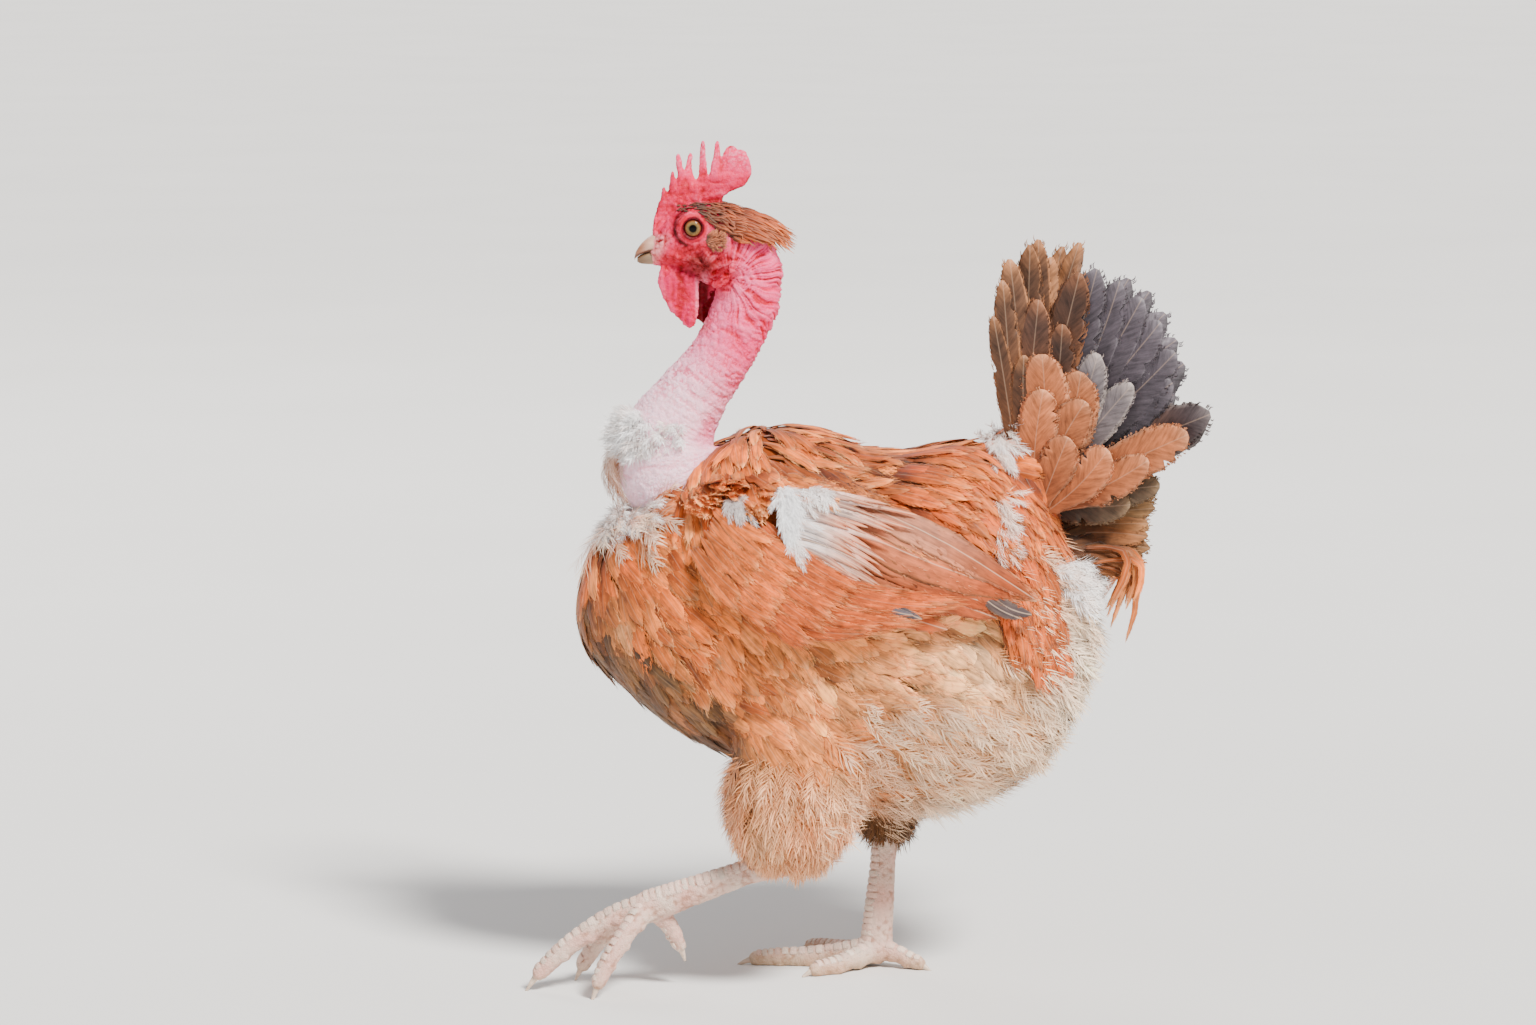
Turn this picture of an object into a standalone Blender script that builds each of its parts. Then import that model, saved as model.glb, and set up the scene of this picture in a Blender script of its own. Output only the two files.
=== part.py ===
"""A life-size naked neck hen, walking, as a still museum model.

The tables below are in millimetres, and MM turns them into Blender's metres. +Z is up, the bill
points along -X, the hen's left side is -Y, and the origin is on the floor below the model's middle.
A name that ends in _left or _right is the hen's own side.
"""

import math
import random

import bmesh
import bpy
import numpy as np
from mathutils import Matrix, Vector
from mathutils.bvhtree import BVHTree

MM = 0.001
GAP = 0.3  # between nodes that meet
VANE_EDGE = 0.28  # half thickness of a feather's vane at its edges
VANE_SHAFT = 0.45  # and along its shaft
LAYER = 1.25  # from one overlapping vane to the next
SIDES = {"left": -1.0, "right": 1.0}

# Rows of a body form: x, top, bottom, half width, height of the widest point.
TORSO_ROWS = [
    (-146.5, 190, 178, 4, 184),
    (-144.0, 206, 168, 19, 186),
    (-137.0, 226, 158, 32, 188),
    (-125.0, 241, 147.5, 43, 189),
    (-107.5, 254, 132.5, 53, 190),
    (-87.0, 267, 119.5, 60, 188),
    (-66.0, 278, 111, 65, 186),
    (-43.0, 282, 101, 68, 184),
    (-22.0, 278, 94, 69, 182),
    (-2.0, 269.5, 88, 68, 180),
    (20.0, 267.5, 83.5, 66, 178),
    (41.0, 270, 85, 63, 176),
    (61.0, 270, 91, 58, 175),
    (80.0, 254, 103, 51, 173),
    (95.5, 229.5, 121, 42.5, 171),
    (107.0, 207, 142, 31, 170),
    (113.5, 188, 158, 17, 170),
    (115.5, 175, 168, 4, 170),
]
HEAD_ROWS = [
    (-107.0, 370, 361.1, 3.5, 365.1),
    (-105.5, 373.9, 359.6, 6.0, 366),
    (-102.0, 378.8, 358.7, 8.6, 368),
    (-97.0, 384.8, 357.2, 11.2, 371),
    (-90.0, 389.2, 354.7, 13.4, 374.9),
    (-82.0, 390.6, 351.3, 14.6, 375.9),
    (-74.0, 390.6, 347.8, 15.2, 372.9),
    (-66.0, 388.2, 344.3, 15.4, 370),
    (-58.0, 383.3, 342.4, 15.0, 366),
    (-51.0, 375.9, 343.4, 13.6, 363.1),
    (-45.5, 367, 346.3, 10.5, 358.2),
    (-42.0, 359.1, 351.3, 5.0, 355.2),
]
BILL_UPPER_ROWS = [
    (-115.3, 363.5, 361.7, 0.7, 362.5),
    (-114.4, 366.4, 363.1, 1.9, 364.3),
    (-112.0, 369.9, 364.7, 3.2, 366),
    (-108.5, 373.1, 365.8, 4.5, 367.8),
    (-104.0, 375.5, 366.4, 5.6, 369),
    (-99.0, 376.4, 366.4, 6.0, 369.5),
]
BILL_LOWER_ROWS = [
    (-113.9, 362.5, 361, 0.8, 361.9),
    (-112.0, 363.8, 360.1, 2.2, 362.9),
    (-108.5, 365.1, 359.8, 3.7, 363.9),
    (-104.0, 365.7, 359.7, 4.9, 364.1),
    (-99.0, 365.7, 360.1, 5.4, 364.1),
]
# Neck: x, z of the centreline, half depth, half width.
NECK_ROWS = [
    (-74.0, 226, 30, 30),
    (-87.0, 243, 29, 28),
    (-96.5, 259, 27, 24.5),
    (-97.5, 275, 23, 19.5),
    (-87.5, 293, 18.2, 16),
    (-74.5, 310.7, 15.8, 14.2),
    (-64.5, 328.5, 15.8, 13.8),
    (-59.0, 344.3, 16.2, 14.0),
    (-60.0, 357.2, 15.5, 13.5),
    (-64.0, 366, 13.0, 12.0),
]
NECK_FOLD = 0.4  # how far the skin's folds rise and sink
HEAD_CUT = (Vector((-64.0, 0.0, 357.0)), Vector((-0.55, 0.0, 0.835)))

EYE_CENTRE = (-86.0, 8.3, 378.8)
EYE_RADIUS = 7.5
LID_RING = (6.3, 1.5)  # radius of the ring of lids, and of its section
NOSTRIL = (-103.2, 5.6, 372.4)
GAPE = (-97.0, 10.6, 365.8)
EAR_CENTRE = (-74.5, 14.6, 372.4)

# The comb's outline in x and z, clockwise from its foot over the bill.
COMB_OUTLINE = [
    (-106, 372), (-105.5, 379.8), (-103.5, 387.7), (-101.5, 393.6), (-100.6, 397.5), (-99.4, 395.1),
    (-98, 395.6), (-96.4, 405), (-95.4, 405), (-93.6, 398.5), (-92.4, 400), (-93.6, 412.8),
    (-92, 413.4), (-90.3, 407.3), (-89.3, 407.3), (-88, 413.6), (-86.3, 413.6), (-86.2, 406.4),
    (-83.4, 402), (-82.4, 410.3), (-82, 419.7), (-80.2, 419.9), (-79.2, 410.3), (-78.1, 403.4),
    (-76.8, 409.3), (-75.3, 419.1), (-73, 420.5), (-72.2, 417.1), (-72, 409.3), (-71, 414.2),
    (-68.4, 418.3), (-65.6, 418.1), (-64.6, 416.2), (-60.6, 415.6), (-58.4, 410.3), (-57.8, 404.4),
    (-60.6, 399.5), (-65.6, 397.1), (-71, 394.2), (-73.5, 388.7), (-88, 385.7), (-97, 380.8), (-101, 372.9),
]
COMB_HALF = (2.7, 1.25)  # half thickness at the foot and at the points
COMB_Z = (385.0, 412.0)
COMB_ROUND = 0.6  # how far its edges are rounded off

# Wattles: top, bottom, front and back in mm, and how far each hangs out from the middle.
WATTLE = {"left": (362.1, 329, -104.5, -83.0), "right": (360.1, 328, -97.5, -75.5)}
WATTLE_HALF = 1.9
WATTLE_OUT = (6.5, 9.5)

# Legs, from the hock to the ball of the foot, and the length of the claws.
HOCK = {"left": (-31.0, 42.0, 71.0), "right": (12.5, 27.0, 85.0)}
BALL = {"left": (-109.0, 37.0, 42.0), "right": (6.0, 15.0, 9.0)}
SHANK_DEPTH = (9.4, 6.4, 7.2, 8.2)  # half depths, hock to ball
SHANK_WIDTH = (6.6, 5.2, 5.6, 7.0)
SCUTES = {"shank": 12, "middle": 6, "outer": 5, "inner": 4, "hind": 2}
SCUTE_RISE = 0.5
# Toes: points from the ball outwards, x from it, y outwards from it, z of the centre.
TOES = {
    "right": {
        "middle": [(0, 0, 9), (-16, 0.5, 6.5), (-33, 1.5, 4.6), (-49, 2.5, 4.0), (-61, 3.0, 3.3)],
        "outer": [(0, 0, 9), (-9, 9, 6.4), (-18, 18.5, 4.6), (-26.5, 26, 3.9), (-33, 31, 3.2)],
        "inner": [(0, 0, 9), (-10, -8.5, 6.4), (-20.5, -16.5, 4.3), (-31, -22, 3.3)],
        "hind": [(0, 0, 9), (8, -3, 8), (16, -6, 5), (22, -8.5, 3.2)],
    },
    "left": {
        "middle": [(0, 0, 42), (-15, 0.5, 38), (-30, 1, 29.5), (-43, 1.5, 19.5), (-54, 2, 9)],
        "outer": [(0, 0, 42), (-6, 9, 36.5), (-13, 14.5, 27.5), (-19.5, 18, 17.5), (-24, 20, 8)],
        "inner": [(0, 0, 42), (-11, -8, 35.5), (-23, -14.5, 24), (-33, -18.5, 8.5)],
        "hind": [(0, 0, 42), (8, -3, 36), (13, -5, 28), (16, -6.5, 21)],
    },
}
TOE_RADII = {"middle": (7.2, 5.6, 5.0, 4.6, 3.9), "outer": (6.6, 5.0, 4.5, 4.2, 3.6),
             "inner": (6.6, 5.0, 4.5, 3.8), "hind": (6.4, 4.6, 4.0, 3.4)}
CLAW_LENGTH = {"middle": 12.0, "outer": 10.0, "inner": 10.0, "hind": 9.0}
CLAW_RADIUS = 2.7

# Vanes: share of the length and share of the half width at each section.
LONG_VANE = [(0.0, 0.4), (0.4, 0.95), (0.9, 0.88), (1.0, 0.36)]
SHORT_VANE = [(0.0, 0.6), (0.78, 1.0), (1.0, 0.38)]
LOCK = [(0.0, 1.0), (0.5, 0.75), (1.0, 0.18)]

# Feathered legs: centre, half depth, half width, from inside the body down to the puff's end.
THIGH_ROWS = {
    "left": [(-20, 34, 150, 34, 22), (-30, 40, 124, 36, 26), (-37, 43, 101, 34, 26),
             (-38, 44, 82, 30, 23), (-37, 44, 70, 20, 15), (-37, 44, 63.5, 8, 6)],
    "right": [(6, 30, 150, 32, 22), (6, 32, 124, 32, 24), (8, 32, 103, 26, 22),
              (10, 31, 86, 20, 18), (12, 29, 72, 14, 13), (12, 28, 64, 10, 9)],
}

# Folded wing, seen from its side: x and z in mm.
WING_TOP = ((-46.0, 257.0), (85.0, 194.0))  # the upper edge, from the shoulder to the rear tip
WING_CORE = [(-75, 213), (-71, 233), (-57, 247), (-34, 254), (0, 247), (34, 227), (52, 212),
             (50, 196), (28, 189), (-6, 187), (-40, 190), (-64, 199)]
# Rows of wing feathers: the first and last feather's root and tip, their number, half width,
# and the first one's height off the wing's surface in mm, with the step to the next.
WING_ROWS = {
    "secondaries": ((-16, 253), (84, 195), (-34, 218), (46, 187.5), 6, 11.0, 0.0, -1.5),
    "primaries": ((-42, 229), (45, 188.6), (-60, 203), (-26, 181.5), 4, 8.5, -2.5, -1.6),
    "greater_coverts": ((-38, 252), (10, 238), (-66, 208), (-34, 190), 4, 10.0, 2.5, -1.8),
    "lesser_coverts": ((-55, 247), (-24, 246), (-75, 215), (-53, 197), 3, 11.0, 4.9, -2.4),
}

# Tail, seen from its side: the roots' middle, then each main feather's tip, x and z.
TAIL_ROOT = (70.0, 246.0)
TAIL_TIPS = [(87, 371.5), (102, 367.5), (119.5, 354), (141, 338), (156, 308), (169, 280.5),
             (146, 243)]
TAIL_COVERTS = {2: [(74, 328), (93, 319), (123, 308), (157, 273)],
                4: [(80, 300), (104, 295), (122, 266)]}
TAIL_RIDGE = (0.134, 0.991)  # the way the ridge leans
TAIL_SLOPE = 0.33  # how fast each half falls away from the ridge
TAIL_HALF = (11.0, 11.5, 12.5, 14.0, 15.0, 13.5, 12.0)
COVERT_HALF = 11.5
RUMP_ROWS = [(62, 232, 25, 24), (80, 252, 27, 20), (94, 268, 21, 14), (104, 280, 10, 7)]

# Tiers of feathers on the body: height of the roots, first and last x, number a side, heading,
# length, half width and how far the tips stand off.
CAPE_TIERS = [(274, -66, -26, 3, (0.9, 0.25, -0.3), 28, 8.0, 6.0),
              (262, -80, -38, 3, (0.85, 0.3, -0.5), 28, 8.0, 4.0)]
SADDLE_TIERS = [(270, 2, 32, 3, (1.0, 0.1, -0.25), 28, 7.0, 3.0)]
# Fluff under the tail: root and tip, with y outwards.
VENT_LOCKS = [((94, 7, 212), (129, 8, 200)), ((96, 20, 206), (132, 22, 191)),
              ((100, 8, 200), (136, 9, 186)), ((97, 27, 192), (127, 30, 177)),
              ((88, 7, 226), (140, 8, 222))]
CROWN_TIERS = [((-84, 390.6), 2, 17, 4.6), ((-73, 391.6), 3, 20, 4.2), ((-63, 387.7), 4, 15, 3.2)]

COLOURS = {
    "plumage": (0.62, 0.22, 0.07, 0.75, 0.0),
    "tail_feathers": (0.16, 0.10, 0.09, 0.6, 0.0),
    "down": (0.80, 0.72, 0.66, 0.9, 0.0),
    "face_skin": (0.70, 0.07, 0.10, 0.5, 0.0),
    "neck_skin": (0.80, 0.30, 0.34, 0.55, 0.0),
    "leg_scales": (0.78, 0.62, 0.54, 0.5, 0.0),
    "horn": (0.62, 0.47, 0.34, 0.35, 0.0),
    "eye": (0.55, 0.28, 0.07, 0.08, 0.0),
}


def clear_scene():
    for obj in list(bpy.data.objects):
        bpy.data.objects.remove(obj, do_unlink=True)


def new_collection(name):
    made = bpy.data.collections.new(name)
    bpy.context.scene.collection.children.link(made)
    return made


def material(slot):
    found = bpy.data.materials.get(slot)
    if found:
        return found
    red, green, blue, roughness, metallic = COLOURS[slot]
    made = bpy.data.materials.new(slot)
    made.use_nodes = True
    shader = made.node_tree.nodes["Principled BSDF"]
    shader.inputs["Base Color"].default_value = (red, green, blue, 1.0)
    shader.inputs["Roughness"].default_value = roughness
    shader.inputs["Metallic"].default_value = metallic
    made.diffuse_color = (red, green, blue, 1.0)
    return made


def smooth_rows(rows, count):
    """count rows along a Catmull-Rom curve through the given rows."""
    rows = np.array(rows, float)
    ends = np.vstack([2 * rows[0] - rows[1], rows, 2 * rows[-1] - rows[-2]])
    made = []
    for u in np.linspace(0, len(rows) - 1, count):
        i = min(int(u), len(rows) - 2)
        t = u - i
        a, b, c, d = ends[i : i + 4]
        made.append(
            0.5 * (2 * b + (c - a) * t + (2 * a - 5 * b + 4 * c - d) * t**2
                   + (3 * b - a - 3 * c + d) * t**3)
        )
    return np.array(made)


def mesh_object(name, bm, slot, group):
    bmesh.ops.recalc_face_normals(bm, faces=bm.faces)
    mesh = bpy.data.meshes.new(name)
    bm.to_mesh(mesh)
    bm.free()
    mesh.shade_smooth()
    obj = bpy.data.objects.new(name, mesh)
    mesh.materials.append(material(slot))
    group.objects.link(obj)
    return obj


def loft(rings):
    """A closed mesh through rings of points in mm, with a fan over each end."""
    bm = bmesh.new()
    rows = [[bm.verts.new(Vector(p) * MM) for p in ring] for ring in rings]
    around = len(rings[0])
    for one, two in zip(rows, rows[1:]):
        for i in range(around):
            j = (i + 1) % around
            bm.faces.new((one[i], one[j], two[j], two[i]))
    for ring, row in ((rings[0], rows[0]), (rings[-1], rows[-1])):
        middle = bm.verts.new(Vector(np.mean(ring, axis=0)) * MM)
        for i in range(around):
            bm.faces.new((row[i], row[(i + 1) % around], middle))
    return bm


def upright_ring(row, around, power):
    """A rounded section at one x, with its own height above and below its widest level."""
    x, top, bottom, half, wide = row
    ring = []
    for i in range(around):
        angle = 2 * math.pi * i / around
        s, c = math.sin(angle), math.cos(angle)
        across = half * math.copysign(abs(s) ** (2 / power), s)
        height = (top - wide if c > 0 else wide - bottom) * math.copysign(abs(c) ** (2 / power), c)
        ring.append((x, across, wide + height))
    return ring


def body_form(rows, count, around, power=2.15):
    return loft([upright_ring(row, around, power) for row in smooth_rows(rows, count)])


def swept_ring(centre, along, half_depth, half_width, around, rise=0.0):
    """A ring across a limb: half_depth lies in the plane of the limb's bend, half_width beside it.

    rise lifts the side that faces forwards and up.
    """
    along = Vector(along).normalized()
    beside = Vector((0, 1, 0))
    beside = (beside - along * beside.dot(along)).normalized()
    deep = along.cross(beside)
    ring = []
    for i in range(around):
        angle = 2 * math.pi * i / around
        round_out = deep * math.cos(angle) + beside * math.sin(angle)
        front = max(0.0, math.cos(angle) * (-1 if deep.x - deep.z > 0 else 1))
        ring.append(Vector(centre) + deep * half_depth * math.cos(angle)
                    + beside * half_width * math.sin(angle) + round_out * rise * math.sqrt(front))
    return ring


def limb_form(points, depths, widths, count, around):
    """A limb through points in mm, with half depths and half widths given at those points."""
    rows = smooth_rows([(*p, d, w) for p, d, w in zip(points, depths, widths)], count)
    centres = rows[:, :3]
    along = np.gradient(centres, axis=0)
    return loft([swept_ring(c, a, row[3], row[4], around)
                 for c, a, row in zip(centres, along, rows)])


def scaled_limb(points, depths, widths, plates, around):
    """A limb with a row of raised scutes down its front, each one's lower edge proud of the next."""
    ends = 2 * plates
    rows = smooth_rows([(*p, d, w) for p, d, w in zip(points, depths, widths)], ends * 4 + 1)
    along = np.gradient(rows[:, :3], axis=0)
    rings = []
    for plate in range(plates):
        for place, rise in ((8 * plate + 1, 0.0), (8 * plate + 7, SCUTE_RISE)):
            row = rows[place]
            rings.append(swept_ring(row[:3], along[place], row[3], row[4], around, rise))
    first = swept_ring(rows[0][:3], along[0], rows[0][3], rows[0][4], around)
    last = swept_ring(rows[-1][:3], along[-1], rows[-1][3], rows[-1][4], around)
    return loft([first, *rings, last])


def ball_form(centre, radii, across=16, rings=10, turn=None):
    bm = bmesh.new()
    bmesh.ops.create_uvsphere(bm, u_segments=across, v_segments=rings, radius=1.0)
    place = Matrix.Translation(Vector(centre) * MM)
    if turn is not None:
        place = place @ turn
    size = Matrix.Diagonal((*(r * MM for r in radii), 1))
    bmesh.ops.transform(bm, verts=bm.verts, matrix=place @ size)
    return bm


def ring_form(centre, radius, thick, around=20, section=6):
    """A ring round the Y axis, such as the lids."""
    bm = bmesh.new()
    rows = []
    for i in range(around):
        angle = 2 * math.pi * i / around
        out = Vector((math.cos(angle), 0, math.sin(angle)))
        rows.append([
            bm.verts.new((Vector(centre) + out * (radius + thick * math.cos(t))
                          + Vector((0, thick * math.sin(t), 0))) * MM)
            for t in (2 * math.pi * k / section for k in range(section))
        ])
    for i in range(around):
        one, two = rows[i], rows[(i + 1) % around]
        for k in range(section):
            bm.faces.new((one[k], two[k], two[(k + 1) % section], one[(k + 1) % section]))
    return bm


def vane(middles, acrosses, ups, halves, thick=1.0):
    """A closed feather, lens shaped in section, with both faces alike."""
    rings = []
    for middle, across, up, half in zip(middles, acrosses, ups, halves):
        edge, shaft = Vector(up) * VANE_EDGE * thick, Vector(up) * VANE_SHAFT * thick
        middle, out = Vector(middle), Vector(across) * half
        rings.append([middle - out + edge, middle + shaft, middle + out + edge,
                      middle + out - edge, middle - shaft, middle - out - edge])
    return mesh_object("vane", loft(rings), "plumage", helpers)


def ease(share):
    share = min(1.0, max(0.0, share))
    return share * share * (3 - 2 * share)


def sheet_vane(sheet, side, root, tip, half, layer, sunk, outline=LONG_VANE, bend=0.0):
    """A feather along a sheet y = sheet(x, z), `layer` mm off it, its root `sunk` mm under it."""
    sign = SIDES[side]
    root, along = Vector(root), Vector(tip) - Vector(root)
    across = Vector((-along.y, along.x)).normalized()
    middles, acrosses, halves = [], [], []
    for share, width in outline:
        x, z = root + along * share + across * bend * math.sin(math.pi * share)
        lift = layer + (sunk - layer) * (1 - ease(share / 0.3))
        out = across * half * width
        low, high = sheet(x - out.x, z - out.y), sheet(x + out.x, z + out.y)
        middles.append((x, sign * ((low + high) / 2 + lift), z))
        acrosses.append((out.x, sign * (high - low) / 2, out.y))
        halves.append(1.0)
    return vane(middles, acrosses, [(0, sign, 0)] * len(outline), halves)


def surface_vane(tree, start, heading, length, half, lift, outline=SHORT_VANE):
    """A feather that follows a surface from its root and rises to `lift` mm at its tip."""
    at, normal, _, _ = tree.find_nearest(Vector(start) * MM)
    heading = Vector(heading).normalized()
    walked = 0.0
    middles, acrosses, ups = [], [], []
    for share, width in outline:
        flat = (heading - normal * heading.dot(normal)).normalized()
        while walked < share * length - 0.01:
            step = min(4.0, share * length - walked)
            at, normal, _, _ = tree.find_nearest(at + flat * step * MM)
            flat = (heading - normal * heading.dot(normal)).normalized()
            walked += step
        middles.append(at / MM + normal * (lift * share - 1.5 * (1 - share)))
        acrosses.append(flat.cross(normal))
        ups.append(normal.copy())
    return vane(middles, acrosses, ups, [half * width for _, width in outline])


def free_vane(root, tip, half, up, outline=LOCK, sag=0.0, thick=1.0):
    """A feather or a lock of down that stands free, from root to tip."""
    root, along = Vector(root), Vector(tip) - Vector(root)
    across = along.cross(Vector(up)).normalized()
    above = across.cross(along).normalized()
    middles = [root + along * share + above * sag * math.sin(math.pi * share) for share, _ in outline]
    halves = [half * width for _, width in outline]
    return vane(middles, [across] * len(outline), [above] * len(outline), halves, thick)


def spread(first, last, count):
    """Points evenly from the first to the last."""
    return [Vector(first).lerp(Vector(last), i / (count - 1)) for i in range(count)]


def surface_of(obj):
    bm = bmesh.new()
    bm.from_mesh(obj.data)
    tree = BVHTree.FromBMesh(bm)
    bm.free()
    return tree


def grown(obj, name, by):
    """A helper copy of a node whose surface stands `by` mm outside it."""
    bm = bmesh.new()
    bm.from_mesh(obj.data)
    bm.normal_update()
    moves = [(v, v.normal.copy()) for v in bm.verts]
    for v, normal in moves:
        v.co += normal * by * MM
    return mesh_object(name, bm, "down", helpers)


def apply_boolean(obj, operation, others, solver="EXACT"):
    """Joins or cuts obj by the closed meshes in others, then removes them."""
    group = bpy.data.collections.new("operands")
    bpy.context.scene.collection.children.link(group)
    for other in others:
        for owner in list(other.users_collection):
            owner.objects.unlink(other)
        group.objects.link(other)
    change = obj.modifiers.new(operation.lower(), "BOOLEAN")
    change.operation = operation
    change.solver = solver
    change.operand_type = "COLLECTION"
    change.collection = group
    bake(obj)
    for other in others:
        bpy.data.objects.remove(other, do_unlink=True)
    bpy.data.collections.remove(group)


def bake(obj):
    """Applies the object's modifiers to its mesh and keeps the largest closed surface."""
    bpy.context.view_layer.update()
    graph = bpy.context.evaluated_depsgraph_get()
    mesh = bpy.data.meshes.new_from_object(obj.evaluated_get(graph))
    obj.modifiers.clear()
    old = obj.data
    obj.data = mesh
    bpy.data.meshes.remove(old)
    mesh.name = obj.name
    keep_largest(obj)


def keep_largest(obj):
    bm = bmesh.new()
    bm.from_mesh(obj.data)
    triangulate(bm)
    bmesh.ops.dissolve_degenerate(bm, edges=bm.edges, dist=0.001 * MM)
    triangulate(bm)
    drop_loose(bm)
    bm = merge_flat(bm)
    bm.to_mesh(obj.data)
    bm.free()
    obj.data.shade_smooth()


def triangulate(bm):
    """Cuts faces into triangles, and turns a diagonal that would lie on another face's edge."""
    bmesh.ops.triangulate(bm, faces=bm.faces)
    for _ in range(3):
        for edge in [e for e in bm.edges if len(e.link_faces) > 2]:
            pairs = [(f, g) for f in edge.link_faces for g in edge.link_faces
                     if f is not g and f.normal.dot(g.normal) > 0.99]
            any(turn_diagonal(bm, edge, f, g) for f, g in pairs)


def turn_diagonal(bm, edge, first, second):
    loop = next(lo for lo in first.loops if lo.edge is edge)
    a, b = loop.vert, loop.link_loop_next.vert
    p = next(v for v in first.verts if v not in (a, b))
    q = next(v for v in second.verts if v not in (a, b))
    if p is q or bm.edges.get((p, q)):
        return False
    for one, two, three in ((a, q, p), (q, b, p)):
        if (two.co - one.co).cross(three.co - one.co).dot(first.normal) <= 0:
            return False
    bmesh.ops.delete(bm, geom=[first, second], context="FACES_ONLY")
    for corners in ((a, q, p), (q, b, p)):
        bm.faces.new(corners).normal_update()
    return True


def merge_flat(bm):
    """Merges faces that lie almost in one plane, as far as that doesn't pinch the surface."""
    for angle in (2.0, 0.7, 0.1):
        trial = bm.copy()
        bmesh.ops.dissolve_limit(trial, angle_limit=math.radians(angle), verts=trial.verts,
                                 edges=trial.edges)
        triangulate(trial)
        if all(len(edge.link_faces) == 2 for edge in trial.edges):
            bm.free()
            return trial
        trial.free()
    return bm


def drop_loose(bm):
    """Deletes every connected surface but the largest."""
    left = set(bm.faces)
    shells = []
    while left:
        stack = [left.pop()]
        shell = list(stack)
        while stack:
            for edge in stack.pop().edges:
                for face in edge.link_faces:
                    if face in left:
                        left.remove(face)
                        stack.append(face)
                        shell.append(face)
        shells.append(shell)
    shells.sort(key=lambda faces: sum(f.calc_area() for f in faces), reverse=True)
    loose = [face for shell in shells[1:] for face in shell]
    bmesh.ops.delete(bm, geom=loose, context="FACES")


def cut_by_plane(obj, point, normal, keep_above, gap):
    """Trims a node at a plane, half a gap back from it, on the side that isn't kept."""
    sign = 1.0 if keep_above else -1.0
    at = Vector(point) + Vector(normal).normalized() * gap / 2 * sign
    bm = bmesh.new()
    bm.from_mesh(obj.data)
    bmesh.ops.bisect_plane(
        bm, geom=bm.verts[:] + bm.edges[:] + bm.faces[:], dist=0.001 * MM, plane_co=at * MM,
        plane_no=Vector(normal), clear_inner=keep_above, clear_outer=not keep_above,
    )
    drop_loose(bm)
    rim = [edge for edge in bm.edges if edge.is_boundary]
    bmesh.ops.holes_fill(bm, edges=rim, sides=0)
    triangulate(bm)
    bmesh.ops.recalc_face_normals(bm, faces=bm.faces)
    bm.to_mesh(obj.data)
    bm.free()


def stand_on_floor(obj):
    """Trims what dips below the floor, which leaves small level flats there."""
    cut_by_plane(obj, (0, 0, 0), (0, 0, 1), keep_above=True, gap=0.0)


def cut_clear(obj, *neighbours):
    """Cuts a node back so that it stays one gap clear of its neighbours."""
    cutters = [grown(n, n.name + "_clear", GAP) for n in neighbours]
    apply_boolean(obj, "DIFFERENCE", cutters)


def node(name):
    return bpy.data.objects[name]


def make_torso():
    """The body's core with the cape, the saddle and the fluff under the tail."""
    torso = mesh_object("torso", body_form(TORSO_ROWS, 20, 22), "plumage", parts)
    tree = surface_of(torso)
    chance = random.Random(3)
    vanes = []
    for tiers in (CAPE_TIERS, SADDLE_TIERS):
        for height, first, last, count, heading, length, half, lift in tiers:
            for sign in SIDES.values():
                for at in spread((first, sign * 26, height + 12), (last, sign * 26, height + 12), count):
                    way = Vector((heading[0], sign * heading[1], heading[2]))
                    way += Vector((chance.uniform(-0.12, 0.12), chance.uniform(-0.12, 0.12), 0))
                    size = length * chance.uniform(0.88, 1.1)
                    vanes.append(surface_vane(tree, at, way, size, half, lift * chance.uniform(0.8, 1.2)))
    for root, tip in VENT_LOCKS:
        for sign in SIDES.values():
            ends = [Vector((x, sign * y, z)) for x, y, z in (root, tip)]
            vanes.append(free_vane(*ends, 8.5, (0, sign, 0.5), thick=3.2))
    apply_boolean(torso, "UNION", vanes)
    return torso


def folded_neck():
    """The neck's tube, with shallow folds of skin across it."""
    rows = smooth_rows(NECK_ROWS, 30)
    chance = random.Random(5)
    centres = np.array([(x, 0, z) for x, z in rows[:, :2]])
    along = np.gradient(centres, axis=0)
    rings = []
    for i, row in enumerate(rows):
        fold = NECK_FOLD * (1 if i % 2 else -1) * chance.uniform(0.6, 1.4)
        rings.append(swept_ring(centres[i], along[i], row[2] + fold, row[3] + fold, 14))
    return loft(rings)


def make_head_and_neck(torso):
    """The head and neck are one form, parted by a thin cut behind the jaw."""
    head = mesh_object("head", body_form(HEAD_ROWS, 15, 18), "face_skin", parts)
    whole = mesh_object("neck_form", folded_neck(), "face_skin", helpers)
    lids = [mesh_object("lid_form", ring_form((EYE_CENTRE[0], sign * 13.3, EYE_CENTRE[2]), *LID_RING),
                        "face_skin", helpers) for sign in SIDES.values()]
    apply_boolean(head, "UNION", [whole, *lids])
    neck = head.copy()
    neck.data = head.data.copy()
    neck.name = neck.data.name = "neck"
    parts.objects.link(neck)
    neck.data.materials[0] = material("neck_skin")
    cut_by_plane(head, *HEAD_CUT, keep_above=True, gap=GAP)
    cut_by_plane(neck, *HEAD_CUT, keep_above=False, gap=GAP)
    cut_clear(neck, torso)
    return head, neck


def make_eyes(head):
    for side, sign in SIDES.items():
        x, y, z = EYE_CENTRE
        centre = (x, sign * y, z)
        mesh_object("eye_" + side, ball_form(centre, (EYE_RADIUS,) * 3, 12, 7), "eye", parts)
        socket = ball_form(centre, (EYE_RADIUS + GAP,) * 3, 12, 7)
        apply_boolean(head, "DIFFERENCE", [mesh_object("socket", socket, "eye", helpers)])


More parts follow.
